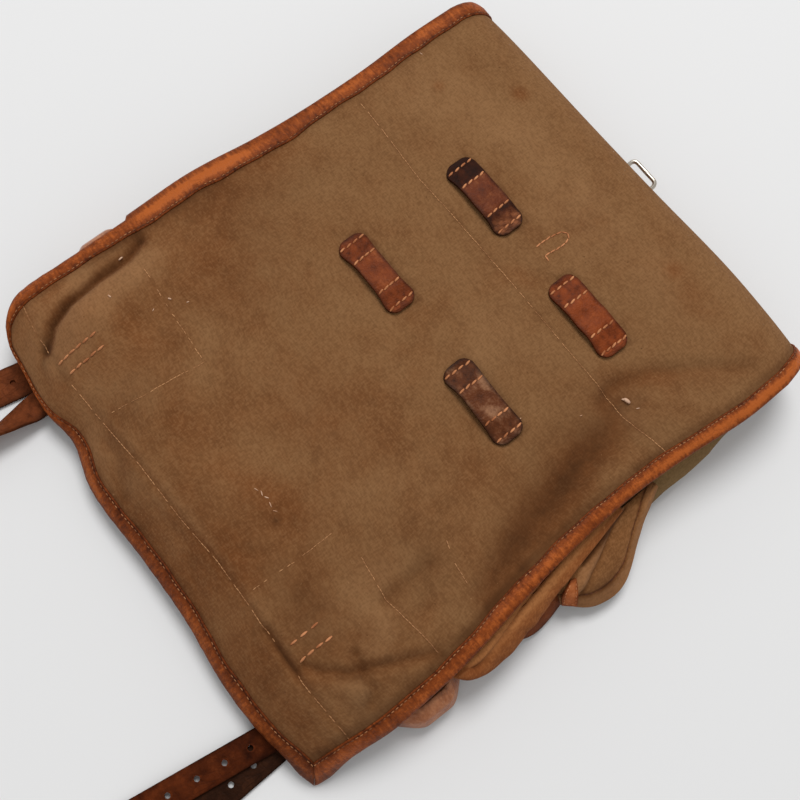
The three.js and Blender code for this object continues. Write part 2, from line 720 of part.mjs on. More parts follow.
// A round cutter that stands through a strap at a point.
function holeCutter(point, normal) {
  const cutter = new THREE.CylinderGeometry(STRAP_HOLE / 2, STRAP_HOLE / 2, 12, 10);
  const turn = new THREE.Quaternion().setFromUnitVectors(new THREE.Vector3(0, 1, 0), normal);
  cutter.applyQuaternion(turn);
  cutter.translate(point.x, point.y, point.z);
  return toSolid(cutter);
}

// A flat strap along a line: half its width at each share of its length, and the turn of its face.
function strap(line, thick, steps, halfWidth, roll, holeYs) {
  const surface = (side, share) => {
    const point = line.getPointAt(share);
    const ahead = line.getTangentAt(share);
    const level = new THREE.Vector3(-ahead.y, ahead.x, 0).normalize();
    const up = ahead.clone().cross(level);
    const angle = degToRad(roll(point.y));
    const across = level.clone().multiplyScalar(Math.cos(angle)).addScaledVector(up, Math.sin(angle));
    const normal = up.clone().multiplyScalar(Math.cos(angle)).addScaledVector(level, -Math.sin(angle));
    return { point: point.addScaledVector(across, side * halfWidth(share)), normal };
  };
  const plain = sheet([-1, 0, 1], spaced(0, 1, steps), thick, surface);
  if (holeYs.length === 0) {
    return plain;
  }
  let solid = toSolid(plain);
  for (const holeY of holeYs) {
    let share = 0.5;
    let step = 0.25;
    for (let i = 0; i < 24; i += 1) {
      share += line.getPointAt(share).y > holeY ? step : -step;
      step /= 2;
    }
    const { point, normal } = surface(0, share);
    solid = solid.subtract(holeCutter(point, normal));
  }
  return fromSolid(solid);
}

// Half a strap's width along it, with a blunt point at the free end.
function taperedHalf(wide, length) {
  return (share) => {
    const fromTip = (1 - share) * length;
    return 0.5 * wide(share) * lerp(0.35, 1, clamp(fromTip / STRAP_TIP, 0, 1) ** 0.6);
  };
}

// A closure strap: along the inside of the flap to its bottom edge, out under the binding, then free.
function closureStrap({ x, lean, holes, tail }) {
  const xAt = (y) => x + lean * (y - CLOSURE_START_Y);
  const points = [];
  const rolls = [];
  const edgeY = flapBottom(xAt(FLAP_BOTTOM_Y));
  for (const back of spaced(CLOSURE_UNDER_FLAP, 0, CLOSURE_STEPS_UNDER_FLAP)) {
    const { point, normal } = onFlapFront(xAt(edgeY + back), edgeY + back);
    points.push(point.addScaledVector(normal, -CLOSURE_BELOW_FLAP));
    rolls.push({ y: point.y, roll: radToDeg(Math.atan2(-normal.x, normal.z)) });
  }
  for (const row of tail) {
    points.push(new THREE.Vector3(xAt(row.y), row.y, row.z));
  }
  const line = new THREE.CatmullRomCurve3(points, false, "centripetal");
  const rollRows = [...rolls, ...tail].sort((a, b) => a.y - b.y);
  const half = taperedHalf(() => CLOSURE_WIDTH, line.getLength());
  return strap(line, LEATHER, 28, half, column(rollRows, "y", "roll"), holes);
}

// A shoulder strap flat on the ground under the back.
function shoulderStrap({ run, holes }) {
  const z = SHOULDER_LEATHER / 2;
  const points = run.toReversed().map((row) => new THREE.Vector3(row.x, row.y, z));
  const line = new THREE.CatmullRomCurve3(points, false, "centripetal");
  const wideAt = column(run, "y", "wide");
  const half = taperedHalf((share) => wideAt(line.getPointAt(share).y), line.getLength());
  return strap(line, SHOULDER_LEATHER, 22, half, () => 0, holes);
}

// The point, outward normal and tangent of the flap's turn at the ring's place.
function turnAtRing(turn, offset) {
  const across = (FLAP_WIDTH * (RING_X - turnLeft(turn))) / (turnRight(turn) - turnLeft(turn));
  const { point, normal } = withNormal((u, v) => flapTurn(u, -v), across, -turn, 1, 1);
  normal.x = 0;
  normal.normalize();
  return { point: point.addScaledVector(normal, offset), normal };
}

const EYE_HOLE = RING_WIRE / 2 + GAP;
const EYE_OUTSIDE = EYE_HOLE + TAB_LEATHER;
const ringEye = turnAtRing(TAB_TURN.eye, CANVAS / 2 + GAP + 0.2 + EYE_OUTSIDE).point;

// The ring's leather tab: an eye round the ring's inner bar and a tail sewn to the flap's turn.
function ringTab() {
  const outer = new THREE.Shape();
  outer.absarc(0, 0, EYE_OUTSIDE, 0, 2 * Math.PI);
  const hole = new THREE.Path();
  hole.absarc(0, 0, EYE_HOLE, 0, 2 * Math.PI, true);
  outer.holes.push(hole);
  const eye = new THREE.ExtrudeGeometry(outer, { depth: TAB_WIDE, bevelEnabled: false, curveSegments: 8 });
  eye.translate(0, 0, -TAB_WIDE / 2);
  eye.rotateY(Math.PI / 2);
  eye.translate(RING_X, ringEye.y, ringEye.z);
  const offset = CANVAS / 2 + GAP + 0.2 + TAB_LEATHER / 2;
  const turns = spaced(TAB_TURN.eye, TAB_TURN.end, 5);
  const tail = sheet(spaced(-0.5, 0.5, 1), turns, TAB_LEATHER, (side, turn) => {
    const { point, normal } = turnAtRing(turn, offset);
    point.x = RING_X + side * TAB_WIDE;
    return { point, normal };
  });
  return fromSolid(toSolid(eye).add(toSolid(tail)));
}

// The wire ring: a rectangle with round corners, its inner bar in the tab's eye.
function wireRing() {
  const steps = 32;
  const round = new THREE.TorusGeometry(RING_WIDE / 2, RING_WIRE / 2, 8, steps);
  const outline = roundRectangle(RING_WIDE / 2, RING_DEEP / 2, RING_CORNER, steps);
  const ring = shaped(round, (x, y, z, i) => {
    const { point, outward } = outline[i % (steps + 1) % steps];
    const place = point.clone().addScaledVector(outward, Math.hypot(x, y) - RING_WIDE / 2);
    return new THREE.Vector3(place.x, place.y + RING_DEEP / 2, z);
  });
  ring.rotateX(degToRad(RING_TILT));
  ring.translate(RING_X, ringEye.y, ringEye.z);
  return ring;
}

const CANVAS_LOOK = { roughness: 0.95, metalness: 0 };
const LEATHER_LOOK = { roughness: 0.6, metalness: 0 };
const STEEL_LOOK = { roughness: 0.3, metalness: 1 };

const pack = new THREE.Group();

function addPiece(name, geometry, color, look) {
  const material = new THREE.MeshStandardMaterial({ color, ...look });
  const mesh = new THREE.Mesh(geometry, material);
  mesh.name = name;
  pack.add(mesh);
}

const earYs = spaced(SIDE_EAR[0].y, SIDE_EAR[SIDE_EAR.length - 1].y, 12);
const ear = hanging(SIDE_EAR, sideEarSection, SOFT_CANVAS, earYs, spaced(0, 1, 7));
const sideFlapYs = spaced(SIDE_FLAP[0].y, SIDE_FLAP[SIDE_FLAP.length - 1].y, 14);
const sideFlap = hanging(SIDE_FLAP, sideFlapSection, SOFT_CANVAS, sideFlapYs, spaced(0, 1, 10));

addPiece("canvas_body", bodyTray(), 0x6b5636, CANVAS_LOOK);
addPiece("flap", sheet(FLAP_ACROSS, FLAP_ALONG, CANVAS, flapAt), 0x664a2c, CANVAS_LOOK);
addPiece("binding_left_bottom", binding(leftAndBottomStations()), 0x7c4420, LEATHER_LOOK);
addPiece("binding_right", binding(rightStations()), 0x7c4420, LEATHER_LOOK);
for (const loop of FRONT_LOOPS) {
  addPiece(loop.name, frontLoop(loop), loop.color, LEATHER_LOOK);
}
for (const loop of SIDE_LOOPS) {
  addPiece(loop.name, sideLoop(loop), 0x6a3a20, LEATHER_LOOK);
}
addPiece("side_flap_right", sideFlap.geometry, 0x8a6639, CANVAS_LOOK);
addPiece("side_ear_right", ear.geometry, 0x7a6038, CANVAS_LOOK);
addPiece("ear_patch", earPatch(ear.surface), 0x8c5128, LEATHER_LOOK);
addPiece("side_strap_right", sideStrap(), 0x6d3719, LEATHER_LOOK);
for (const closure of CLOSURE_STRAPS) {
  addPiece(closure.name, closureStrap(closure), 0x5a3019, LEATHER_LOOK);
}
for (const shoulder of SHOULDER_STRAPS) {
  addPiece(shoulder.name, shoulderStrap(shoulder), 0x4a2816, LEATHER_LOOK);
}
addPiece("ring_tab", ringTab(), 0x6a3a20, LEATHER_LOOK);
addPiece("top_ring", wireRing(), 0xb0aca4, STEEL_LOOK);

// The origin is under the middle of the whole, on the ground.
const extent = new THREE.Box3().setFromObject(pack);
const middle = extent.getCenter(new THREE.Vector3());
pack.position.set(-middle.x, -middle.y, -extent.min.z);

const rucksack = new THREE.Group();
rucksack.add(pack);

export default rucksack;
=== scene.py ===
"""Looks of an old canvas army pack, empty and lying on its back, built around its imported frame.

Sizes are in millimetres of the pack's own frame: +X across the flap, +Y to its top fold, +Z up.
"""
from __future__ import annotations

import logging
import math
from dataclasses import dataclass, field, replace
from enum import Enum
from typing import Any, NamedTuple, Sequence, Union

import bmesh
import bpy
import numpy as np
from mathutils import Matrix, Vector

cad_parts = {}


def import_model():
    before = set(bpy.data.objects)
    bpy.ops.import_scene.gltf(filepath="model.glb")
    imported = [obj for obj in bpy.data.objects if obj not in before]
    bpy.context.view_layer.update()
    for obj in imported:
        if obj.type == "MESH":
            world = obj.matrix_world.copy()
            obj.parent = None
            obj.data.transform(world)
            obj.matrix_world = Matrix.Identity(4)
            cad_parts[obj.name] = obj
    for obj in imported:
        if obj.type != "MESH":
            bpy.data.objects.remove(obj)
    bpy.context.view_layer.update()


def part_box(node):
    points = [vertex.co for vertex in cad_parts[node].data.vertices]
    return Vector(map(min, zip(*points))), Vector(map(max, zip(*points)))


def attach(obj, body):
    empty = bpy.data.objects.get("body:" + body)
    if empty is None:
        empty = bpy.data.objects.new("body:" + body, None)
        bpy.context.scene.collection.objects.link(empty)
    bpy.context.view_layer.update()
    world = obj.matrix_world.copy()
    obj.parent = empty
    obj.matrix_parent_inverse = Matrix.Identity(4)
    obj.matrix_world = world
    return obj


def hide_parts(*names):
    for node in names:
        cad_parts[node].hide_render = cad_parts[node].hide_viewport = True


LOG = logging.getLogger("army_pack")
MM = 0.001
Array = np.ndarray
Numbers = Union[float, np.ndarray]
Color = tuple[float, float, float]


class Paint(Enum):
    """What is painted on a piece's points for its finish to read: stains and painted shade, wear and
    painted light, dark edges and painted shade.
    """

    STAIN_AND_SHADE = "stain_and_shade"
    WEAR_AND_LIGHT = "worn"
    EDGE = "edge"


class Side(Enum):
    """The two sides of the pack, by the sign of X."""

    LEFT = -1
    RIGHT = 1


class FlapEdge(NamedTuple):
    """The flap's two side edges at one level."""

    y: float
    left: float
    left_z: float
    right: float
    right_z: float


class BottomEdge(NamedTuple):
    """The flap's bottom edge at one place."""

    x: float
    y: float
    z: float


class TurnEdge(NamedTuple):
    """The flap's two edges at one angle of its top fold."""

    turn: float
    left: float
    right: float


class Reach(NamedTuple):
    """How far the top fold stands out at one place."""

    x: float
    reach: float


class Fold(NamedTuple):
    """A dent or ridge of cloth along a line of points."""

    points: tuple[tuple[float, float], ...]
    wide: float
    lift: float


class Spot(NamedTuple):
    """A soft oval mark on the cloth."""

    x: float
    y: float
    long: float
    wide: float
    turn: float
    strength: float = 1.0


class WallRow(NamedTuple):
    """One point of the body wall's section."""

    out: float
    z: float


class Lean(NamedTuple):
    """How far the body's two side walls lean out at one level."""

    y: float
    left: float
    right: float


class HangRow(NamedTuple):
    """The outermost line and the lower edge of a piece on the right wall."""

    y: float
    out: float
    low: float


class PatchRow(NamedTuple):
    """How far along the ear a row of its leather corner reaches."""

    down: float
    start: float
    end: float


class TailRow(NamedTuple):
    """One place on a closure strap's free tail."""

    y: float
    z: float
    roll: float


class RunRow(NamedTuple):
    """One place on a shoulder strap."""

    y: float
    x: float
    wide: float


def table(kind: type, *rows: tuple) -> tuple:
    """Rows of a table, each made one of its kind."""
    return tuple(kind(*row) for row in rows)


FLAP_EDGES = table(
    FlapEdge,
    (-220, -192, 27, 174, 14), (-190, -193, 33, 176, 23), (-160, -190, 41, 179, 33),
    (-105, -188, 47, 177, 44), (-50, -188, 49, 170, 47), (0, -183, 50, 165, 48), (50, -182, 50, 163.5, 48),
    (100, -182, 50, 167, 48), (150, -184, 51, 173, 49), (186, -183, 53, 173, 52),
)
BOTTOM_EDGES = table(
    BottomEdge,
    (-195, -203, 27), (-160, -206, 20), (-123, -211, 15), (-95, -208.5, 15), (-62, -217.5, 14),
    (0, -218, 14), (45, -219.5, 14), (95, -225, 13), (130, -224.5, 13), (178, -216, 14),
)
TURN_EDGES = table(
    TurnEdge,
    (-72, -162, 152), (-40, -168, 156), (0, -176, 162), (45, -181, 169), (90, -183, 173),
)
TURN_REACH = table(
    Reach,
    (-186, 27), (-150, 28.5), (-50, 30), (10, 31.5), (90, 34.5), (150, 31.5), (173, 29.5),
)
BROAD_FOLDS = table(
    Fold,
    (((-163, -108), (-168, -142)), 12, -6), (((-166, -146), (-143, -187)), 12, -6),
    (((-140, -118), (-140, -150)), 15, 2.5), (((108, -104), (134, -150)), 16, -3.5),
    (((134, -150), (160, -165)), 14, -3), (((118, -186), (158, -120)), 14, 2),
    (((70, 0), (168, -16)), 42, -4), (((102, 88), (155, 170)), 16, -2.5),
    (((-157, 188), (-104, 155)), 18, -2.5), (((-170, 38), (-160, -72)), 18, -2),
    (((-105, -200), (-88, -160)), 15, 3),
)
LEFT_CREASE = (
    (-170, -97), (-169, -108), (-167, -118), (-167, -134), (-165, -150), (-164, -160), (-162, -169),
    (-160, -176), (-154, -182), (-149, -187),
)
FINE_FOLDS = table(
    Fold,
    (((-163, -108), (-168, -142)), 12, 4.2), (((-166, -146), (-143, -187)), 12, 4.2),
    (((-170, -97), (-165, -110), (-165, -134), (-162.5, -159), (-158, -176), (-150, -187)), 4.2, -9),
    (((-150, -120), (-150, -150), (-144, -168)), 9, 1.6),
    (((-155, -83), (-149, -111), (-146, -141), (-141, -164), (-134, -177)), 9, 1.8),
    (((-155, -187), (-149, -192), (-144, -197), (-137, -199), (-131, -201)), 3.4, -3.0),
    (((-76, -193), (-62, -191), (-55, -198), (-40, -203)), 4.6, -4.4),
    (((-21, -193), (-3, -192), (14, -190), (25, -198), (39, -205), (51, -211)), 3.6, -2.8),
    (((-86, -199), (-70, -203), (-55, -208)), 6.0, 1.6), (((108, -104), (134, -150)), 16, 2.2),
    (((134, -150), (160, -165)), 14, 1.4), (((118, -82), (118, -100), (118, -117)), 6, -3.2),
    (((136, -95), (140, -104)), 6, -2),
    (((118, -180), (128, -173), (138, -162), (146, -145), (152, -132), (162, -112)), 4.2, -5.2),
    (((131, -152), (142, -156), (154, -155), (159, -162)), 3.8, -3.4),
    (((40, -169), (46, -162), (51, -150), (48, -134)), 4.2, -1.2), (((126, -124), (143, -138)), 8, 2.2),
    (((132, -176), (150, -166)), 8, 2.2), (((86, -184), (104, -185), (120, -186)), 3.2, -4.2),
    (((106, 74), (101, 88), (112, 118), (131, 148), (150, 174)), 5.4, -2.6),
    (((122, 84), (142, 113)), 8, -1.8), (((112, 66), (132, 92)), 9, 1.3),
    (((80, 166), (95, 172)), 12, -1.4), (((132, -203), (149, -202)), 5, -1.6),
    (((120, 84), (127, 50), (134, 20), (140, -9), (149, -40), (158, -62)), 14, -8),
    (((100, -10), (116, -44)), 26, -1.5), (((60, -70), (98, -46)), 18, 0.9),
    (((-36, -106), (-10, -78), (16, -49)), 14, -0.9), (((31, -156), (45, -128), (26, -122)), 7, -0.8),
)
LOWER_SEAM = (
    (-190, -181), (-166, -186), (-148, -188), (-120, -188), (-88, -187), (-51, -185), (-4, -185),
    (32, -183), (65, -184), (94, -186), (119, -187), (145, -186), (170, -185),
)
UPPER_SEAM = ((-162, 85), (-91, 80.5), (-6, 82), (77, 80.5), (136, 83), (158, 88))
LEFT_PATCH_SEAM = (
    (-152, -107), (-123, -110), (-97, -112), (-74, -114), (-77, -134), (-79, -157), (-86, -179),
)
RIGHT_PATCH_SEAM = ((61, -177), (64, -145), (64, -118))
RIGHT_PATCH_TOP = ((87, -113), (118, -117), (141, -114), (162, -111))
SMALL_SEAM = ((112, -64), (125, -69), (141, -71))
KEEPER_STITCH = ((-4, 112), (-4, 124), (-2, 134), (2, 137), (6, 133), (6, 122), (4, 113), (9, 112))
BAR_STITCHES = (
    ((-136, -187), (-134, -172), (-133, -156)),
    ((-126, -185), (-124, -171), (-123, -157)),
    ((102, -180), (102, -157)),
    ((113, -181), (114, -156)),
)
# Painted shade over valleys, creases, the lower right and beside the binding, some dirt, and painted light
# where the strength is negative.
SHADE_AND_DIRT_SPOTS = table(
    Spot,
    (130, 35, 55, 17, -76, 0.36), (108, 60, 45, 16, -75, 0.26), (124, -12, 45, 16, -68, 0.24),
    (140, -35, 36, 13, -72, 0.25), (48, -160, 46, 22, 0, 0.26), (100, -158, 38, 18, 0, 0.48),
    (134, -136, 14, 12, 0, 0.25), (150, -164, 16, 11, 0, 0.6), (85, -187, 30, 4, 0, 0.35),
    (167, -82, 20, 8, -80, 0.35), (108, -82, 24, 16, 0, 0.14), (45, -128, 16, 10, 0, 0.2),
    (103, 41, 26, 14, -80, 0.18), (139, 93, 22, 9, 68, 0.3), (-147, -193, 11, 2.6, -34, 0.8),
    (-165, -182, 34, 34, 0, -0.4), (-131, -189, 9, 2, -8, 0.4), (120, -108, 60, 45, 0, 0.14),
    (80, -112, 50, 30, 0, 0.16), (110, -205, 70, 14, 0, 0.2), (-126, -30, 28, 18, 0, 0.2),
    (81, 160, 30, 18, 20, 0.14), (116, -84, 26, 14, -80, 0.3), (106, -166, 10, 8, 0, 0.25),
    (105, -186, 17, 2.4, -2, 0.7), (36, -140, 3, 2.4, 0, 0.7), (-88, -152, 24, 12, 12, 0.3),
    (76, -48, 46, 20, 20, 0.08), (-158, -24, 62, 17, 66, 0.32), (128, 132, 60, 8, 56, 0.25),
    (-7, -80, 42, 24, 10, 0.25), (-106, -66, 42, 30, 60, 0.24), (-50, -197, 40, 9, -16, 0.3),
    (-176, -60, 40, 9, 84, 0.25),
)
STAINS = table(
    Spot,
    (16, -136, 40, 12, 24, 0.35), (-112, -132, 30, 14, 20, 0.15), (35, -175, 30, 12, 0, 0.4),
    (-42, -157, 40, 22, -30, 0.15), (0, -205, 230, 22, 0, 0.35), (128, 25, 65, 18, -72, 0.5),
    (7, 88, 14, 8, 40, 0.45), (120, 122, 60, 9, 52, 0.4), (-168, -20, 70, 26, 90, 0.35),
    (45, -150, 60, 30, -20, 0.2), (130, -150, 40, 30, 30, 0.1), (-7, -80, 42, 24, 10, 0.3),
    (-110, -60, 45, 30, 60, 0.25), (87, 175, 40, 20, 20, 0.35), (-128, -78, 30, 20, 0, 0.2),
    (-152, -178, 45, 45, 0, 0.7), (-165, -125, 26, 30, 0, 0.2), (66, 177, 7, 7, 0, 0.6),
    (-100, 180, 6, 6, 0, 0.5), (-139, 137, 4, 4, 0, 0.6),
)
# Rubbed wear, and painted light on the lower left corner where it turns down away from the lamp.
WEAR_AND_LIGHT_SPOTS = table(
    Spot,
    (-141, 131, 45, 30, 20, 0.35), (-73, 157, 50, 30, 0, 0.35), (41, 169, 60, 22, 0, 0.3),
    (101, -137, 18, 30, 0, 0.35), (35, -89, 40, 24, 0, 0.25), (-146, -137, 14, 40, 0, 0.35),
    (-42, -86, 50, 14, 20, 0.2), (20, 40, 60, 50, 0, 0.2), (-108, -173, 45, 25, 0, 0.5),
    (-170, -185, 30, 30, 0, 0.4), (-146, -206, 40, 12, 0, 0.45), (-28, -196, 60, 10, 0, 0.4),
    (-6, 150, 30, 20, 0, 0.4), (120, 92, 14, 12, 0, 0.5), (0, -180, 50, 5, 0, 0.35),
)
FRAYS = table(
    Spot,
    (115, 92, 5.2, 2.8, 20), (113, 91, 3.6, 1.6, 50), (124, 94, 2.6, 0.6, 60),
    (-169, -114, 3.4, 1.3, 95), (-146, -136, 3.0, 1.2, 10), (13, -138, 3.4, 0.7, 20),
    (17, -137, 3.8, 0.8, 160), (21, -136, 3.2, 0.7, 30), (26, -137, 3.8, 0.8, 170),
    (31, -137, 3.2, 0.7, 40), (-123, -106, 2.4, 1.3, 40), (-114, -98, 2.0, 0.7, 80),
    (-123, -119, 2.2, 0.6, 120), (-168, 145, 2.6, 0.6, 15), (104, 58, 2.0, 0.7, 70),
    (81, 25, 2.4, 0.9, 100),
)
BODY_WALL = table(
    WallRow,
    (-4, 2.9), (2, 6), (5, 14), (3, 24), (-4, 33), (-13, 40), (-14.2, 38.4), (-5.6, 31.7), (1.1, 23.4),
    (3, 14.2), (0.4, 7.3), (-4.8, 4.9),
)
WALL_OUTSIDE_ROWS = 6
BODY_LEANS = table(
    Lean,
    (-182, 0, -5), (-120, 1, -3), (0, 2, 0), (70, 3, 0), (125, 4, -1), (150, 3, -4), (175, 3, -6),
    (192, 2, -8),
)
SIDE_FLAP_ROWS = table(
    HangRow,
    (-113, 177, 34), (-104, 186, 30), (-94, 191, 22), (-84, 192, 17), (-70, 191, 16.5), (-50, 187.5, 20),
    (-31, 184, 25), (-20, 181.5, 30), (-8, 178.5, 33.5), (20, 173, 35.6), (44, 168, 36.4),
)
EAR_ROWS = table(
    HangRow,
    (-23, 190, 13), (-9, 203, 11), (3, 207.5, 10), (14, 208, 10), (25, 204.5, 12), (36, 196, 17),
    (50, 186, 23), (64, 177, 28), (74, 172, 31),
)
EAR_PATCH_ROWS = table(
    PatchRow,
    (0.38, 11, 15), (0.62, 3, 11.5), (0.88, 0.6, 8.5),
)
SIDE_STRAP_ROWS = table(
    HangRow,
    (-68, 184, 10), (-58, 191, 6), (-48, 194, 5), (-34, 193, 5), (-23, 190.5, 6), (-17, 189, 7),
)
LEFT_TAIL = table(
    TailRow,
    (-219, 7.6, 8), (-228, 8.4, 28), (-239, 9, 44), (-250, 9.6, 58), (-270, 8.6, 44), (-296, 4.5, 12),
    (-318, 1.6, 0),
)
RIGHT_TAIL = table(
    TailRow,
    (-228, 5.3, 0), (-237, 4.5, 0), (-250, 4.5, 0), (-270, 4.4, 0), (-292, 4, 0), (-315, 2, 0),
    (-335, 1.4, 0),
)
LEFT_SHOULDER_RUN = table(
    RunRow,
    (-302, -171, 25), (-250, -164, 25), (-205, -155, 25), (-150, -140, 30), (-60, -103, 34), (60, -62, 36),
    (150, -44, 36),
)
RIGHT_SHOULDER_RUN = table(
    RunRow,
    (-312, 145.5, 22), (-250, 144, 22), (-205, 142.5, 22), (-150, 132, 28), (-60, 98, 34), (60, 60, 36),
    (150, 44, 36),
)


def smoothstep(value: Numbers, low: float, high: float) -> Numbers:
    """Smooth step from 0 at low to 1 at high."""
    share = np.clip((value - low) / (high - low), 0.0, 1.0)
    return share * share * (3.0 - 2.0 * share)


def lerp(first: Numbers, second: Numbers, share: Numbers) -> Numbers:
    """Value between two others."""
    return first + (second - first) * share


def hump(distance: Numbers, wide: Numbers) -> Numbers:
    """Soft hump: 1 at no distance, falling to 0 over its width."""
    return np.exp(-((distance / wide) ** 2))


def run_along(points: Array) -> Array:
    """Length of a line of points from its start to each of them."""
    return np.concatenate(([0.0], np.cumsum(np.linalg.norm(np.diff(points, axis=0), axis=1))))


def unit(vectors: Array) -> Array:
    """Vectors of length one."""
    return vectors / np.maximum(np.linalg.norm(vectors, axis=-1, keepdims=True), 1e-9)


def pair(x: Numbers, y: Numbers) -> Array:
    """Places on a plane from their two coordinates, which are broadcast together."""
    return np.stack(np.broadcast_arrays(x, y), axis=-1)


def stack(x: Numbers, y: Numbers, z: Numbers) -> Array:
    """Points from their three coordinates, which are broadcast together."""
    return np.stack(np.broadcast_arrays(x, y, z), axis=-1).astype(float)


class Column:
    """A smooth curve through one column of a table, held at its end values past the ends."""

    def __init__(self, at: Sequence[float], values: Sequence[float]) -> None:
        """Keeps the rows and the slope at each.

        Args:
            at: The key of each row, rising.
            values: The value of each row.
        """
        self.at = np.asarray(at, float)
        self.values = np.asarray(values, float)
        slopes = np.diff(self.values) / np.diff(self.at)
        inner = 0.5 * (slopes[1:] + slopes[:-1])
        self.slopes = np.concatenate((slopes[:1], inner, slopes[-1:]))

    def __call__(self, where: Numbers) -> Array:
        """Values of the curve.

        Args:
            where: Keys to read it at.

        Returns:
            The values, in the keys' shape.
        """
        held = np.clip(where, self.at[0], self.at[-1])
        i = np.clip(np.searchsorted(self.at, held, side="right") - 1, 0, len(self.at) - 2)
        run = self.at[i + 1] - self.at[i]
        t = (held - self.at[i]) / run
        rise = self.values[i + 1] - self.values[i]
        start, end = self.slopes[i] * run, self.slopes[i + 1] * run
        bend = 3 * rise - 2 * start - end
        return self.values[i] + t * (start + t * (bend + t * (start + end - 2 * rise)))


def columns(rows: Sequence[NamedTuple]) -> list[Column]:
    """Curves of a table's further columns over its first one."""
    at, *values = zip(*rows)
    return [Column(at, part) for part in values]


def distance_to_line(x: Numbers, y: Numbers, points: Sequence[tuple[float, float]]) -> Array:
    """Distance in plan to a line of points.

    Args:
        x: X of the places.
        y: Y of the places.
        points: The line's corners.

    Returns:
        The distances, in millimetres.
    """
    nearest = np.full(np.broadcast(x, y).shape, 1e9)
    for (x1, y1), (x2, y2) in zip(points[:-1], points[1:]):
        dx, dy = x2 - x1, y2 - y1
        share = np.clip(((x - x1) * dx + (y - y1) * dy) / (dx * dx + dy * dy), 0.0, 1.0)
        nearest = np.minimum(nearest, np.hypot(x - x1 - share * dx, y - y1 - share * dy))
    return nearest


def ripple(x: Numbers, y: Numbers, size: float, seed: int) -> Array:
    """Soft even waves of cloth, from about -1 to 1.

    Args:
        x: X of the places.
        y: Y of the places.
        size: Typical length of a wave.
        seed: Which waves.

    Returns:
        The height of the waves.
    """
    draw = np.random.default_rng(seed)
    total = np.zeros(np.broadcast(x, y).shape)
    waves = 9
    for _ in range(waves):
        turn = draw.uniform(0, math.pi)
        length = size * draw.uniform(0.6, 1.7)
        phase = draw.uniform(0, 2 * math.pi)
        total += np.sin((x * math.cos(turn) + y * math.sin(turn)) * 2 * math.pi / length + phase)
    return total / math.sqrt(waves * 1.4)


def round_corner(dx: Array, dy: Array, radius: float) -> tuple[Array, Array]:
    """Pulls the square corner of a grid in to a round one.

    Args:
        dx: Distances to the first edge.
        dy: Distances to the second edge.
        radius: The corner's radius.

    Returns:
        The two distances after the pull.
    """
    p = np.clip(1 - dx / radius, 0.0, 1.0)
    q = np.clip(1 - dy / radius, 0.0, 1.0)
    near = (p > 0) & (q > 0)
    round_x = radius * (1 - p * np.sqrt(1 - q * q / 2))
    round_y = radius * (1 - q * np.sqrt(1 - p * p / 2))
    return np.where(near, round_x, dx), np.where(near, round_y, dy)


def stations(low: float, high: float, step: float, fine: Sequence[tuple[float, float]] = ()) -> Array:
    """Stations from one end to the other, twice as close over the fine stretches.

    Args:
        low: First station.
        high: Last station.
        step: Distance between two stations.
        fine: Middle and half width of each fine stretch.

    Returns:
        The stations.
    """
    ground = np.linspace(low, high, 4001)
    local = np.full(ground.shape, float(step))
    for middle, half in fine:
        local = np.where(np.abs(ground - middle) < half, step / 2, local)
    count = np.concatenate(([0.0], np.cumsum(np.diff(ground) / local[1:])))
    return np.interp(np.linspace(0, count[-1], max(int(round(count[-1])), 1) + 1), count, ground)


def spline(points: Sequence[Array], share: Array) -> Array:
    """A smooth curve through control points.

    Args:
        points: The control points, each an array of the curves' shape and coordinates.
        share: Where on the curves, from 0 to 1.

    Returns:
        The points on the curves.
    """
    last = len(points) - 1
    control = np.stack(points)
    where = np.clip(share, 0.0, 1.0) * last
    i = np.minimum(where.astype(int), last - 1)
    t = (where - i)[..., None]
    pick = np.arange(i.size).reshape(i.shape)
    flat = control.reshape(len(points), -1, control.shape[-1])

    def at(index: Array) -> Array:
        """Control points by number, for each curve."""
        return flat[np.clip(index, 0, last), pick]

    p0, p1, p2, p3 = at(i - 1), at(i), at(i + 1), at(i + 2)
    v0, v1 = 0.5 * (p2 - p0), 0.5 * (p3 - p1)
    return p1 + t * (v0 + t * (3 * (p2 - p1) - 2 * v0 - v1 + t * (2 * (p1 - p2) + v0 + v1)))


def surface_normals(points: Array) -> Array:
    """Unit normals of a grid of points, across times along."""
    along = np.gradient(points, axis=0)
    across = np.gradient(points, axis=1)
    return unit(np.cross(across, along))


@dataclass(frozen=True)
class PackFrame:
    """Where the pack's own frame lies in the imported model."""

    shift: tuple[float, float, float]

    @classmethod
    def from_loop(cls, node: str, x: float, y: float) -> "PackFrame":
        """The frame that puts the middle of a named loop at its place in the pack.

        Args:
            node: The loop's node.
            x: X of the loop's middle in the pack.
            y: Y of the loop's middle in the pack.

        Returns:
            The frame.
        """
        low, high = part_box(node)
        middle_x = 0.5 * (low[0] + high[0]) / MM
        middle_y = 0.5 * (low[1] + high[1]) / MM
        return cls((middle_x - x, middle_y - y, 0.0))

    def metres(self, points: Array) -> Array:
        """Points of the pack in the model's metres."""
        return (np.asarray(points, float) + np.asarray(self.shift)) * MM


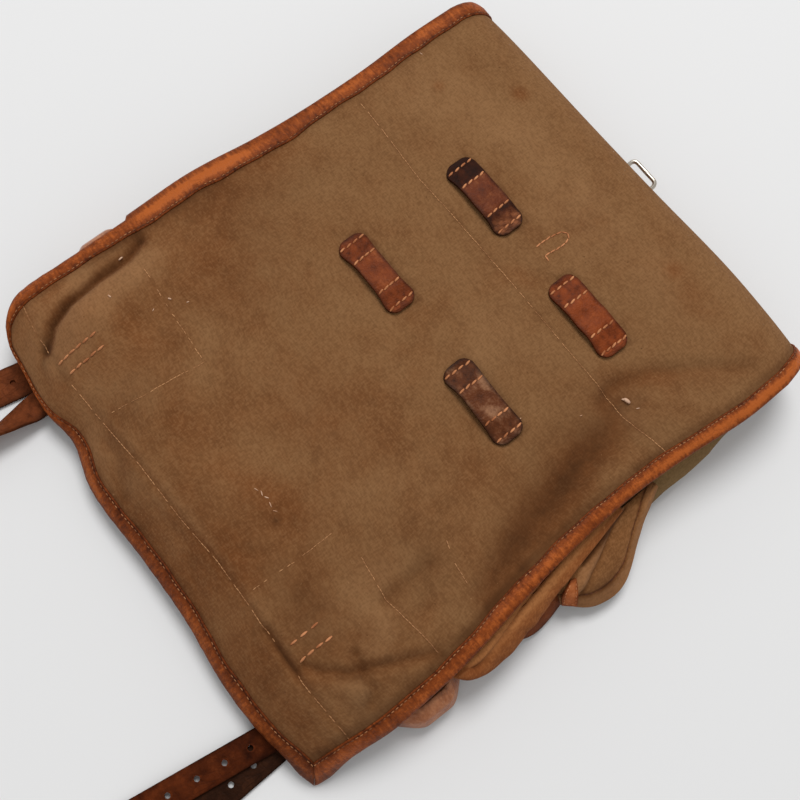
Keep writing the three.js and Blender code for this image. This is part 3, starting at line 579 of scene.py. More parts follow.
class Wire:
    """A socket of a material, on which sums are written."""

    def __init__(self, graph: "Graph", socket: bpy.types.NodeSocket) -> None:
        """Keeps the socket and the graph it is in."""
        self.graph = graph
        self.socket = socket

    def __add__(self, other: "Value") -> "Wire":
        """Sum of two values."""
        return self.graph.math("ADD", self, other)

    def __sub__(self, other: "Value") -> "Wire":
        """Difference of two values."""
        return self.graph.math("SUBTRACT", self, other)

    def __rsub__(self, other: float) -> "Wire":
        """A number less this value."""
        return self.graph.math("SUBTRACT", other, self)

    def __mul__(self, other: "Value") -> "Wire":
        """Product of two values."""
        return self.graph.math("MULTIPLY", self, other)

    __radd__ = __add__
    __rmul__ = __mul__

    def wave(self) -> "Wire":
        """Sine of the value."""
        return self.graph.math("SINE", self)

    def held(self) -> "Wire":
        """Value held between 0 and 1."""
        return self.graph.math("MINIMUM", self.graph.math("MAXIMUM", self, 0.0), 1.0)

    def step(self, low: float, high: float) -> "Wire":
        """Smooth step from 0 at low to 1 at high."""
        settings = {"interpolation_type": "SMOOTHSTEP"}
        sockets = {"Value": self, "From Min": low, "From Max": high, "To Min": 0.0, "To Max": 1.0}
        return self.graph.wire("ShaderNodeMapRange", settings, sockets)


Value = Union[Wire, float]


Sockets = dict[Union[str, int], Any]


class Graph:
    """A material's nodes, written as expressions."""

    def __init__(self, name: str) -> None:
        """Starts an empty material."""
        self.material = bpy.data.materials.new(name)
        self.material.use_nodes = True
        self.tree = self.material.node_tree
        self.tree.nodes.clear()

    def node(self, kind: str, settings: dict[str, Any], sockets: Sockets) -> bpy.types.Node:
        """Adds a node.

        Args:
            kind: Its type.
            settings: Its own settings, which are set first.
            sockets: The number, colour or wire of each of its inputs.

        Returns:
            The node.
        """
        made = self.tree.nodes.new(kind)
        for name, value in settings.items():
            setattr(made, name, value)
        for name, value in sockets.items():
            if isinstance(value, Wire):
                self.tree.links.new(value.socket, made.inputs[name])
            else:
                made.inputs[name].default_value = value
        return made

    def wire(self, kind: str, settings: dict[str, Any], sockets: Sockets,
             output: Union[str, int] = 0) -> Wire:
        """Adds a node and gives one of its outputs."""
        return Wire(self, self.node(kind, settings, sockets).outputs[output])

    def math(self, operation: str, *values: Value) -> Wire:
        """Adds a sum on values."""
        return self.wire("ShaderNodeMath", {"operation": operation}, dict(enumerate(values)))

    def mix(self, share: Value, first: Union[Wire, Color], second: Union[Wire, Color]) -> Wire:
        """Mixes two colours.

        Args:
            share: Share of the second colour.
            first: The first colour.
            second: The second colour.

        Returns:
            The mixed colour.
        """
        settings = {"data_type": "RGBA", "blend_type": "MIX", "clamp_factor": True}
        paints = [value if isinstance(value, Wire) else (*value, 1.0) for value in (first, second)]
        return self.wire("ShaderNodeMix", settings, {0: share, 6: paints[0], 7: paints[1]}, 2)

    def cloth_place(self) -> Wire:
        """Place on the piece's own flat pattern, in metres."""
        return self.wire("ShaderNodeUVMap", {"uv_map": "flat"}, {})

    def painted(self, paint: Paint) -> Wire:
        """What is painted on the piece's points."""
        return self.wire("ShaderNodeAttribute", {"attribute_name": paint.value}, {}, "Fac")

    def stretched(self, place: Wire, x: float, y: float) -> Wire:
        """A place scaled by its own amounts across and along."""
        return self.wire("ShaderNodeVectorMath", {"operation": "MULTIPLY"}, {0: place, 1: (x, y, 1.0)})

    def moved(self, place: Wire, by: float) -> Wire:
        """A place moved, for a second pattern of the same kind."""
        shift = (by, by * 0.7, by * 1.3)
        return self.wire("ShaderNodeVectorMath", {"operation": "ADD"}, {0: place, 1: shift})

    def noise(self, place: Wire, size: float, detail: float, rough: float) -> Wire:
        """Cloudy pattern from 0 to 1.

        Args:
            place: Where it is read.
            size: Size of its clouds, in metres.
            detail: How many finer layers it has.
            rough: How strong they are.

        Returns:
            The pattern.
        """
        sockets = {"Vector": place, "Scale": 1.0 / size, "Detail": detail, "Roughness": rough}
        return self.wire("ShaderNodeTexNoise", {}, sockets, 0)

    def cells(self, place: Wire, size: float, feature: str = "F1") -> Wire:
        """Distance pattern of small cells, of a size in metres."""
        sockets = {"Vector": place, "Scale": 1.0 / size}
        return self.wire("ShaderNodeTexVoronoi", {"feature": feature}, sockets, "Distance")

    def bump(self, height: Wire, depth: float, strength: float = 1.0) -> Wire:
        """Normal of a relief, of a depth in metres."""
        return self.wire("ShaderNodeBump", {}, {"Height": height, "Distance": depth, "Strength": strength})

    def finish(self, sockets: dict[str, Any]) -> bpy.types.Material:
        """Closes the material with its surface.

        Args:
            sockets: What the surface's inputs hold.

        Returns:
            The material.
        """
        shader = self.node("ShaderNodeBsdfPrincipled", {}, sockets)
        output = self.node("ShaderNodeOutputMaterial", {}, {})
        self.tree.links.new(shader.outputs[0], output.inputs["Surface"])
        return self.material


@dataclass(frozen=True)
class CanvasFinish:
    """Heavy old cotton canvas: woven, blotched, stained and flecked."""

    name: str
    khaki: Color
    rust: Color
    dark: Color
    pale: Color
    thread: float = 0.0008
    yarn: float = 0.0012
    cloud: float = 0.12
    blotch: float = 0.034
    grime: float = 0.009
    fleck: float = 0.0024
    lint: float = 0.0028

    def material(self) -> bpy.types.Material:
        """The finish as a material."""
        g = Graph(self.name)
        place = g.cloth_place()
        axes = g.node("ShaderNodeSeparateXYZ", {}, {"Vector": place})
        turn = 2 * math.pi / self.thread
        warp = (Wire(g, axes.outputs["X"]) * turn).wave()
        weft = (Wire(g, axes.outputs["Y"]) * turn).wave()
        weave = warp * weft
        yarn = g.noise(g.stretched(place, 1.0, 0.35), self.yarn, 2.0, 0.5)
        yarn_across = g.noise(g.stretched(g.moved(place, 3.1), 0.35, 1.0), self.yarn, 2.0, 0.5)
        threads = (yarn + yarn_across) * 0.5
        clouds = g.noise(place, self.cloud, 3.0, 0.5)
        blotch = g.noise(g.moved(place, 1.7), self.blotch, 5.0, 0.6)
        grime = g.noise(g.moved(place, 5.3), self.grime, 4.0, 0.6)
        # The paint brings stains and painted shade, wear and painted light, and dark edges and painted
        # shade.
        stain_and_shade, worn, edge = (g.painted(paint) for paint in Paint)
        redness = (blotch * 0.9 + clouds * 0.6 + stain_and_shade * 0.9 - 0.62).step(0.0, 0.9)
        color = g.mix(redness, self.khaki, self.rust)
        shade = ((clouds - 0.5) * 0.8 + (grime - 0.5) + (blotch - 0.5) * 1.1 + stain_and_shade * 0.3).step(-0.12, 0.6)
        # Darker with random tone, and with the edge paint's dark lines and painted shade.
        color = g.mix(shade * 0.4 + edge * 0.6, color, self.dark)
        # Paler where rubbed, and where the wear paint holds painted light.
        rubbed = (worn + (grime - 0.5) * 0.3 + (0.5 - blotch) * 0.8).step(0.1, 0.9)
        color = g.mix(rubbed * 0.48, color, self.pale)
        color = g.mix(threads.step(0.48, 0.62) * (0.22 - edge * 0.18), color, self.pale)
        color = g.mix((1.0 - threads).step(0.48, 0.62) * 0.2, color, self.dark)
        flecks = g.noise(g.moved(place, 9.1), self.fleck, 2.0, 0.5).step(0.72, 0.77)
        lint = g.noise(g.moved(place, 12.7), self.lint, 2.0, 0.5).step(0.75, 0.79)
        color = g.mix(flecks * 0.5, color, self.dark)
        color = g.mix(lint * 0.5, color, self.pale)
        relief = weave * 0.3 + threads * 1.2 + grime * 0.5
        return g.finish({
            "Base Color": color,
            "Roughness": 0.88 + (grime - 0.5) * 0.14,
            "Specular IOR Level": 0.06,
            "Sheen Weight": 0.02,
            "Normal": g.bump(relief, 0.0004, 0.6),
        })


@dataclass(frozen=True)
class LeatherFinish:
    """Old oiled leather: grained, mottled, dark in its hollows and rubbed on its heights."""

    name: str
    deep: Color
    middle: Color
    bright: Color
    mottle: float = 0.007
    contrast: float = 1.0
    clouding: float = 0.7
    grain: float = 0.0013
    roughness: float = 0.5
    stripes: float = 0.0
    gloss: float = 0.07
    cracks: float = 0.4
    cloud: float = 0.045
    speck: float = 0.0016
    stripe: float = 0.0017
    crack: float = 0.0042

    def material(self) -> bpy.types.Material:
        """The finish as a material."""
        g = Graph(self.name)
        place = g.cloth_place()
        # The paint brings stains, wear and dark edges, and on some pieces painted shade.
        stain_and_shade, worn, edge = (g.painted(paint) for paint in Paint)
        clouds = g.noise(place, self.cloud, 3.0, 0.5)
        mottle = g.noise(g.moved(place, 2.3), self.mottle, 5.0, 0.65)
        specks = g.noise(g.moved(place, 7.9), self.speck, 3.0, 0.6)
        pores = g.cells(g.moved(place, 4.1), self.grain)
        stripes = g.noise(g.stretched(g.moved(place, 3.3), 0.22, 1.0), self.stripe, 3.0, 0.6)
        cracks = g.cells(g.stretched(g.moved(place, 6.2), 1.0, 0.45), self.crack, "DISTANCE_TO_EDGE")
        tone = (mottle - 0.5) * self.contrast + (clouds - 0.5) * self.clouding + worn * 0.5 + 0.5
        tone = tone + (stripes - 0.5) * self.stripes
        color = g.mix(tone.step(0.12, 0.62), self.deep, self.middle)
        color = g.mix((tone + (specks - 0.5) * 0.5).step(0.52, 1.05), color, self.bright)
        # Darker with stains and dark edges, and with the painted shade that these paints hold.
        dirt = (stain_and_shade + edge * 0.8 + (0.45 - mottle) * 0.6).held()
        color = g.mix(dirt * 0.85, color, tuple(0.35 * part for part in self.deep))
        creased = (1.0 - cracks.step(0.0, 0.09)) * (clouds * 1.4).step(0.55, 0.9)
        color = g.mix(creased * self.cracks, color, self.deep)
        relief = pores * 0.5 + mottle * 0.7 - creased * 0.35 + specks * 0.25 + stripes * self.stripes
        rough = (self.roughness + (mottle - 0.5) * 0.25 + stain_and_shade * 0.1 - worn * 0.06).held()
        return g.finish({
            "Base Color": color,
            "Roughness": rough,
            "Specular IOR Level": self.gloss,
            "Normal": g.bump(relief, 0.0005, 0.8),
        })


@dataclass(frozen=True)
class ThreadFinish:
    """Waxed linen thread, dirtied along its run."""

    name: str
    light: Color
    dirty: Color

    def material(self) -> bpy.types.Material:
        """The finish as a material."""
        g = Graph(self.name)
        place = g.wire("ShaderNodeTexCoord", {}, {}, "Object")
        dirt = g.noise(place, 0.012, 4.0, 0.6)
        twist = g.noise(place, 0.0009, 2.0, 0.5)
        color = g.mix(dirt.step(0.38, 0.66), self.light, self.dirty)
        color = g.mix(twist.step(0.5, 0.7) * 0.4, color, self.dirty)
        return g.finish({
            "Base Color": color,
            "Roughness": 0.75 + (twist - 0.5) * 0.2,
            "Specular IOR Level": 0.3,
            "Normal": g.bump(twist, 0.0002, 0.5),
        })


@dataclass(frozen=True)
class SteelFinish:
    """Dull nickelled wire with a little brown in it."""

    name: str
    steel: Color
    brown: Color

    def material(self) -> bpy.types.Material:
        """The finish as a material."""
        g = Graph(self.name)
        place = g.wire("ShaderNodeTexCoord", {}, {}, "Object")
        tarnish = g.noise(place, 0.004, 5.0, 0.65)
        scratch = g.noise(g.moved(place, 2.0), 0.0008, 3.0, 0.6)
        spots = tarnish.step(0.52, 0.72)
        return g.finish({
            "Base Color": g.mix(spots * 0.6, self.steel, self.brown),
            "Metallic": 1.0 - spots * 0.45,
            "Roughness": 0.26 + spots * 0.3 + (scratch - 0.5) * 0.2,
            "Normal": g.bump(scratch, 0.00008, 0.4),
        })


@dataclass(frozen=True)
class PaperFinish:
    """The studio's plain pale paper."""

    name: str
    color: Color

    def material(self) -> bpy.types.Material:
        """The finish as a material."""
        g = Graph(self.name)
        return g.finish({"Base Color": (*self.color, 1.0), "Roughness": 0.9, "Specular IOR Level": 0.1})


FLAP_CANVAS = CanvasFinish(
    "flap_canvas", (0.226, 0.109, 0.043), (0.206, 0.073, 0.022),
    (0.072, 0.027, 0.009), (0.340, 0.178, 0.078))
# Lighter than the body cloth's own colour, as painted light on the wall in the flap's shade.
BODY_CANVAS = CanvasFinish(
    "body_canvas", (0.215, 0.126, 0.050), (0.190, 0.097, 0.034),
    (0.075, 0.037, 0.012), (0.320, 0.195, 0.085))
SIDE_CANVAS = CanvasFinish(
    "side_canvas", (0.285, 0.096, 0.028), (0.260, 0.078, 0.022),
    (0.085, 0.024, 0.007), (0.480, 0.205, 0.072))
EAR_CANVAS = CanvasFinish(
    "ear_canvas", (0.235, 0.100, 0.034), (0.180, 0.060, 0.018),
    (0.062, 0.021, 0.007), (0.420, 0.200, 0.085))
BINDING_LEATHER = LeatherFinish(
    "binding_leather", (0.060, 0.013, 0.004), (0.215, 0.047, 0.009), (0.430, 0.106, 0.021),
    mottle=0.0045, contrast=0.9, clouding=0.35, stripes=0.8, cracks=0.12)
LOOP_RED = LeatherFinish("loop_red", (0.036, 0.008, 0.003), (0.180, 0.038, 0.009), (0.310, 0.080, 0.022))
LOOP_BROWN = LeatherFinish(
    "loop_brown", (0.026, 0.008, 0.004), (0.135, 0.031, 0.010), (0.260, 0.085, 0.032))
LOOP_ORANGE = LeatherFinish(
    "loop_orange", (0.046, 0.009, 0.003), (0.222, 0.045, 0.010), (0.340, 0.080, 0.020))
LOOP_DARK = LeatherFinish("loop_dark", (0.028, 0.009, 0.004), (0.118, 0.034, 0.011), (0.300, 0.140, 0.070))
# Its light middle and bright colours are partly a painted highlight of glossy leather.
SIDE_LOOP_LEATHER = LeatherFinish(
    "side_loop_leather", (0.055, 0.012, 0.004), (0.290, 0.090, 0.032), (0.470, 0.190, 0.084),
    roughness=0.4, gloss=0.18)
STRAP_LEATHER = LeatherFinish(
    "strap_leather", (0.030, 0.006, 0.002), (0.104, 0.021, 0.005), (0.190, 0.046, 0.013), gloss=0.03)
STRAP_LIGHT = LeatherFinish(
    "strap_light", (0.040, 0.010, 0.003), (0.150, 0.038, 0.012), (0.240, 0.068, 0.022), gloss=0.03)
STRAP_DARK = LeatherFinish(
    "strap_dark", (0.010, 0.004, 0.002), (0.032, 0.011, 0.005), (0.075, 0.026, 0.010), gloss=0.03)
PATCH_LEATHER = LeatherFinish(
    "patch_leather", (0.120, 0.028, 0.008), (0.340, 0.090, 0.024), (0.480, 0.160, 0.055), contrast=1.3)
TAN_THREAD = ThreadFinish("tan_thread", (0.620, 0.260, 0.110), (0.330, 0.105, 0.034))
SEAM_THREAD = ThreadFinish("seam_thread", (0.520, 0.260, 0.110), (0.300, 0.130, 0.048))
BINDING_THREAD = ThreadFinish("binding_thread", (0.430, 0.185, 0.072), (0.120, 0.036, 0.011))
EAR_THREAD = ThreadFinish("ear_thread", (0.170, 0.046, 0.015), (0.075, 0.020, 0.008))
FRAY_THREAD = ThreadFinish("fray_thread", (0.720, 0.480, 0.330), (0.460, 0.240, 0.130))
RING_STEEL = SteelFinish("ring_steel", (0.62, 0.56, 0.48), (0.22, 0.14, 0.07))
STUDIO_PAPER = PaperFinish("studio_paper", (0.80, 0.80, 0.80))


@dataclass
class Skin:
    """A piece's points on a grid, along times across, with its flat pattern and its paint."""

    points: Array
    flat: Array
    paint: dict[Paint, Array] = field(default_factory=dict)


@dataclass
class Piece:
    """A sub-assembly of the pack."""

    frame: PackFrame

    def mesh(self, name: str, skin: Skin, weld: bool = False) -> bpy.types.Object:
        """Makes a piece from a grid that is laid on its points.

        Args:
            name: The piece's name.
            skin: Its points, flat pattern and paint.
            weld: Whether edges of the grid that meet are joined and open ends closed.

        Returns:
            The object, at the origin.
        """
        rows, columns = skin.points.shape[:2]
        places = self.frame.metres(skin.points)
        work = bmesh.new()
        bmesh.ops.create_grid(work, x_segments=columns - 1, y_segments=rows - 1, size=0.5)
        flat_layer = work.loops.layers.uv.new("flat")
        paint_layers = {paint: work.verts.layers.float.new(paint.value) for paint in Paint}
        cell: dict[int, tuple[int, int]] = {}
        for vert in work.verts:
            i = int(round((vert.co.x + 0.5) * (columns - 1)))
            j = int(round((vert.co.y + 0.5) * (rows - 1)))
            cell[vert.index] = (j, i)
            vert.co = places[j, i]
            for paint, layer in paint_layers.items():
                vert[layer] = float(skin.paint[paint][j, i]) if paint in skin.paint else 0.0
        for face in work.faces:
            face.smooth = True
            for loop in face.loops:
                loop[flat_layer].uv = skin.flat[cell[loop.vert.index]] * MM
        if weld:
            bmesh.ops.remove_doubles(work, verts=work.verts[:], dist=1e-6)
            rims = [edge for edge in work.edges if edge.is_boundary]
            bmesh.ops.holes_fill(work, edges=rims, sides=0)
            bmesh.ops.recalc_face_normals(work, faces=work.faces[:])
        return self.from_work(name, work)

    @staticmethod
    def from_work(name: str, work: bmesh.types.BMesh) -> bpy.types.Object:
        """Turns a finished bmesh into an object of the scene."""
        data = bpy.data.meshes.new(name)
        work.to_mesh(data)
        work.free()
        made = bpy.data.objects.new(name, data)
        bpy.context.scene.collection.objects.link(made)
        return made

    @staticmethod
    def thicken(made: bpy.types.Object, thick: float, edge: float = 0.0) -> None:
        """Gives a sheet its thickness, and its cut edge a small round.

        Args:
            made: The sheet.
            thick: Its thickness in millimetres.
            edge: Radius of the round.
        """
        wall = made.modifiers.new("wall", "SOLIDIFY")
        wall.thickness = thick * MM
        wall.offset = 0.0
        wall.use_even_offset = True
        wall.use_quality_normals = True
        if edge:
            rounding = made.modifiers.new("rounded_edge", "BEVEL")
            rounding.width = edge * MM
            rounding.segments = 2
            rounding.limit_method = "ANGLE"
            rounding.angle_limit = math.radians(50)

    @staticmethod
    def settle(made: bpy.types.Object, slot: str, finish: Any, *nodes: str) -> bpy.types.Object:
        """Dresses a piece, ties it to the pack and hides the nodes that it replaces.

        Args:
            made: The piece.
            slot: Not used.
            finish: Its finish, or its ready material.
            nodes: The nodes that it replaces.

        Returns:
            The piece.
        """
        look = finish if isinstance(finish, bpy.types.Material) else finish.material()
        made.data.materials.append(look)
        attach(made, "root")
        if nodes:
            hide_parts(*nodes)
        LOG.info("%s: %d faces", made.name, len(made.data.polygons))
        return made


@dataclass(frozen=True)
class Stitching:
    """How a row is sewn: pitch, share that shows, half the thread's thickness, lean and share worn away."""

    pitch: float
    share: float
    radius: float
    slant: float = 0.0
    skip: float = 0.0


SEAM_STITCHING = Stitching(2.8, 0.94, 0.36, 0.05)
BAR_STITCHING = Stitching(6.2, 0.84, 0.85, 0.2)
KEEPER_STITCHING = Stitching(4.4, 0.92, 0.62, 0.25)
BINDING_STITCHING = Stitching(3.4, 0.62, 0.36)
LOOP_STITCHING = Stitching(4.6, 0.9, 0.82, 0.45)
EAR_STITCHING = Stitching(3.4, 0.7, 0.32, skip=0.2)
CORNER_STITCHING = Stitching(2.6, 0.7, 0.34)
TAB_STITCHING = Stitching(2.8, 0.7, 0.35)


@dataclass
class Thread:
    """Rows of stitches that end up as one piece."""

    frame: PackFrame
    name: str
    work: bmesh.types.BMesh = field(default_factory=bmesh.new)
    draw: np.random.Generator = field(default_factory=lambda: np.random.default_rng(7))

    def stitch(self, work: bmesh.types.BMesh, start: Array, end: Array, normal: Array,
               radius: float) -> None:
        """Adds one stitch.

        Args:
            work: The row that it belongs to.
            start: Where the thread comes out.
            end: Where it goes in.
            normal: Which way is up there.
            radius: Half the thread's thickness.
        """
        ahead = Vector(unit(end - start))
        up = Vector(unit(normal))
        side = up.cross(ahead).normalized()
        top = ahead.cross(side)
        half = 0.5 * float(np.linalg.norm(end - start)) + radius * 0.3
        middle = Vector(self.frame.metres(0.5 * (start + end)))
        turn = Matrix((ahead, side, top)).transposed().to_4x4()
        scale = Matrix.Diagonal((half * MM, radius * MM, radius * MM, 1.0))
        bmesh.ops.create_uvsphere(
            work, u_segments=6, v_segments=6, radius=1.0,
            matrix=Matrix.Translation(middle) @ turn @ scale @ Matrix.Rotation(math.pi / 2, 4, "Y"))

    def row(self, points: Array, normals: Array, sewn: Stitching) -> None:
        """Adds evenly spaced stitches along a line.

        Args:
            points: The line's points.
            normals: The cloth's normals there.
            sewn: How it is sewn.
        """
        run = run_along(points)
        count = max(int(run[-1] / sewn.pitch), 1)
        work = bmesh.new()
        for k in range(count):
            gone = self.draw.uniform() < sewn.skip
            wander = self.draw.normal(0.0, 0.12, 2) * sewn.radius * 2
            if gone:
                continue
            middle = (k + 0.5) * run[-1] / count
            half = 0.5 * sewn.share * sewn.pitch
            first, last, up = (
                np.array([np.interp(at, run, values[:, axis]) for axis in range(3)])
                for at, values in ((middle - half, points), (middle + half, points), (middle, normals)))
            across = unit(np.cross(up, last - first))
            start = first + across * (wander[0] - sewn.slant)
            self.stitch(work, start, last + across * (wander[1] + sewn.slant), up, sewn.radius)
        row = bpy.data.meshes.new("row")
        work.to_mesh(row)
        work.free()
        self.work.from_mesh(row)
        bpy.data.meshes.remove(row)

    def finish(self, slot: str, finish: ThreadFinish) -> bpy.types.Object:
        """Makes the stitches one piece of the pack."""
        for face in self.work.faces:
            face.smooth = True
        return Piece.settle(Piece.from_work(self.name, self.work), slot, finish)


@dataclass
class FlapCloth(Piece):
    """The canvas lid, rolled down at three edges and turned over at the top."""

    width: float = 366.0
    crown: float = 56.0
    bottom_y: float = -218.0
    turn_y: float = 186.0
    end_z: float = 4.6
    end_turn: float = -72.0
    end_reach: float = 32.0
    left_roll: float = 60.0
    right_roll: float = 42.0
    bottom_roll: float = 70.0
    corner_left: float = 27.0
    corner_right: float = 3.0
    turn_run: float = 144.0
    thick: float = 2.2
    step: float = 2.45
    cut: tuple[float, float] = (0.372, 0.500)

    def __post_init__(self) -> None:
        """Reads the tables."""
        self.left, self.left_z, self.right, self.right_z = columns(FLAP_EDGES)
        self.bottom, self.bottom_z = columns(BOTTOM_EDGES)
        self.turn_left, self.turn_right = columns(TURN_EDGES)
        self.reach, = columns(TURN_REACH)
        self.front_run = self.turn_y - self.bottom_y
        self.turn_rate = (90.0 - self.end_turn) / self.turn_run

    @staticmethod
    def folded(folds: Sequence[Fold], lift: Array, x: Array, y: Array) -> Array:
        """A height with folds added to it."""
        for fold in folds:
            lift = lift + fold.lift * hump(distance_to_line(x, y, fold.points), fold.wide)
        return lift

    def broad(self, x: Array, y: Array) -> Array:
        """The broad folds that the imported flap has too, as a height."""
        return self.folded(BROAD_FOLDS, np.zeros(np.broadcast(x, y).shape), x, y)

    def relief(self, x: Array, y: Array) -> Array:
        """Folds, seams and waves of the flap's front, as a height."""
        lift = self.broad(x, y) + 0.55 * ripple(x, y, 85.0, 3) + 0.22 * ripple(x, y, 26.0, 4)
        lift = self.folded(FINE_FOLDS, lift, x, y)
        below = distance_to_line(x, y, LOWER_SEAM)
        lift = lift - 1.0 * hump(below, 2.0) + 0.5 * hump(below - 4.5, 3.0)
        lift = lift + 0.3 * hump(below, 7.0) * np.sin(x / 1.7 + 2.0 * np.sin(x / 23.0))
        for seam in (UPPER_SEAM, LEFT_PATCH_SEAM, RIGHT_PATCH_SEAM, RIGHT_PATCH_TOP):
            near = distance_to_line(x, y, seam)
            lift = lift - 0.4 * hump(near, 1.8)
            lift = lift + 0.14 * hump(near, 6.0) * np.sin((x + y) / 1.5)
        return lift

    def level(self, x: Array, y: Array) -> Array:
        """Height of the flap's middle surface over the front."""
        keep = 1 - smoothstep(y, self.turn_y - 25, self.turn_y)
        height = self.crown + keep * self.relief(x, y)
        drops = 0.0
        for inside, roll, low in (
            (x - self.left(y), self.left_roll, self.left_z(y)),
            (self.right(y) - x, self.right_roll, self.right_z(y)),
            (y - self.bottom(x), self.bottom_roll, self.bottom_z(x)),
        ):
            share = np.clip(1 - inside / roll, 0.0, 1.2)
            drops = drops + (share * share * np.maximum(height - low, 0.0)) ** 4
        return height - drops ** 0.25

    def on_front(self, x: Array, y: Array) -> tuple[Array, Array]:
        """Points and normals of the front, by their place in plan."""
        h = 0.5
        slope_x = (self.level(x + h, y) - self.level(x - h, y)) / (2 * h)
        slope_y = (self.level(x, y + h) - self.level(x, y - h)) / (2 * h)
        return stack(x, y, self.level(x, y)), unit(stack(-slope_x, -slope_y, 1.0))

    def plan(self, across: Array, up: Array) -> tuple[Array, Array]:
        """Place in plan, by the distances from the left edge and from the bottom edge."""
        dx, dy = round_corner(across, up, self.corner_left)
        from_right, dy = round_corner(self.width - dx, dy, self.corner_right)
        dx = self.width - from_right
        level = self.bottom_y + dy
        x = lerp(self.left(level), self.right(level), dx / self.width)
        return x, lerp(self.bottom(x), self.turn_y, dy / self.front_run)

    def turned(self, across: Array, turn: Array) -> Array:
        """Points of the cloth where it turns over at the top."""
        held = np.clip(across, 0.0, self.width)
        x = lerp(self.turn_left(turn), self.turn_right(turn), held / self.width)
        top = self.level(x, np.full(np.shape(x), self.turn_y))
        reach = lerp(self.end_reach, self.reach(x), smoothstep(turn, -60.0, 10.0))
        angle = np.radians(turn)
        y = self.turn_y + reach * np.cos(angle)
        return stack(x, y, 0.5 * (top + self.end_z) + 0.5 * (top - self.end_z) * np.sin(angle))

    def on_turn(self, across: Array, turn: Array) -> tuple[Array, Array]:
        """Points and normals of the turn."""
        sideways = self.turned(across + 1, turn) - self.turned(across - 1, turn)
        onward = self.turned(across, turn - 1) - self.turned(across, turn + 1)
        return self.turned(across, turn), unit(np.cross(sideways, onward))

    def at(self, across: Numbers, along: Numbers) -> tuple[Array, Array]:
        """Points and normals of the whole flap.

        Args:
            across: Distances from the left edge.
            along: Distances from the bottom edge, which run on over the turn.

        Returns:
            The points and the unit normals.
        """
        across, along = (np.asarray(part, float) for part in np.broadcast_arrays(across, along))
        front, front_normal = self.on_front(*self.plan(across, np.minimum(along, self.front_run)))
        turn = 90.0 - np.maximum(along - self.front_run, 0.0) * self.turn_rate
        over, over_normal = self.on_turn(across, turn)
        pick = (along <= self.front_run)[..., None]
        return np.where(pick, front, over), np.where(pick, front_normal, over_normal)

    @staticmethod
    def marked(spots: Sequence[Spot], x: Array, y: Array) -> Array:
        """How strongly the spots mark the cloth."""
        total = np.zeros(np.shape(x))
        for spot in spots:
            turn = math.radians(spot.turn)
            along = (x - spot.x) * math.cos(turn) + (y - spot.y) * math.sin(turn)
            aside = (y - spot.y) * math.cos(turn) - (x - spot.x) * math.sin(turn)
            total += spot.strength * np.exp(-((along / spot.long) ** 2) - (aside / spot.wide) ** 2)
        return total

    def build(self) -> None:
        """Makes the flap and its seams."""
        across = stations(0.0, self.width, self.step, ((28.0, 20.0),))
        front = stations(0.0, self.front_run, self.step, ((80.0, 52.0), (300.0, 4.0)))
        over = stations(self.front_run, self.front_run + self.turn_run, 4.0)[1:]
        along = np.concatenate((front, over))
        points, _ = self.at(*np.meshgrid(across, along))
        run = run_along(points[:, len(across) // 2])
        flat = pair(across, run[:, None])
        x, y = points[..., 0], points[..., 1] + np.maximum(along - self.front_run, 0.0)[:, None]
        made = self.mesh("canvas_flap", Skin(points, flat, self.painted(x, y, flat)))
        self.thicken(made, self.thick)
        self.settle(made, "flap_canvas", FLAP_CANVAS, "flap")
        self.sew()

    def painted(self, x: Array, y: Array, flat: Array) -> dict[Paint, Array]:
        """The cloth's paint: its stains, its rubbed places, and painted shade and painted light in creases,
        hollows and beside the binding and loops.

        Args:
            x: X of the points.
            y: Y of the points, which runs on over the turn.
            flat: Their places on the flat pattern.

        Returns:
            The paint.
        """
        near_seam = np.minimum(distance_to_line(x, y, LOWER_SEAM), distance_to_line(x, y, UPPER_SEAM))
        across, along = flat[..., 0], flat[..., 1]
        bare = EdgeBinding.bottom_in_plan[0][1] - np.interp(across, *zip(*EdgeBinding.bottom_in_plan))
        rim = np.minimum(np.minimum(across, self.width - across), along + 2.0 * bare)
        # Painted shadow line inside the binding, and dark seams.
        edge = 0.7 * hump(np.maximum(rim - 12.0, 0.0), 3.0) + 0.25 * hump(near_seam, 2.5)
        # Painted shade and dirt on the side of each front loop towards the top, and painted light on the
        # side towards the bottom.
        for plan in FRONT_LOOPS:
            beside = np.maximum(np.abs(x - plan.x) - 0.5 * plan.long, 0)
            above = np.maximum(np.abs(y - plan.y) - 0.5 * plan.wide, 0)
            edge = edge + np.where(y > plan.y, 0.5, -0.3) * hump(np.hypot(beside, above), 2.2)
        # Painted shade along the left crease.
        crease = hump(distance_to_line(x, y, LEFT_CREASE[2:]), 4.6)
        crease = crease * (0.5 + 0.2 * smoothstep(-y, 112.0, 150.0))
        edge = edge + 0.3 * hump(distance_to_line(x, y, LEFT_CREASE), 6.5) + 0.85 * crease
        # Redder and a little darker towards the bottom.
        redder_low = 0.12 * smoothstep(60 - y, 0.0, 100.0) + 0.1 * smoothstep(-y, 90.0, 190.0)
        fine = self.relief(x, y) - self.broad(x, y)
        # Stains with painted shade in fold hollows; painted shade and dirt spots with more in deep hollows;
        # wear and painted light, more on fold heights and none in the crease.
        return {
            Paint.STAIN_AND_SHADE: redder_low + self.marked(STAINS, x, y) + 0.06 * np.maximum(-fine, 0.0),
            Paint.EDGE: edge + self.marked(SHADE_AND_DIRT_SPOTS, x, y) + 0.07 * np.maximum(-fine - 1.0, 0.0),
            Paint.WEAR_AND_LIGHT: (0.1 + self.marked(WEAR_AND_LIGHT_SPOTS, x, y) + 0.15 * np.maximum(fine, 0.0)) * (1 - crease),
        }

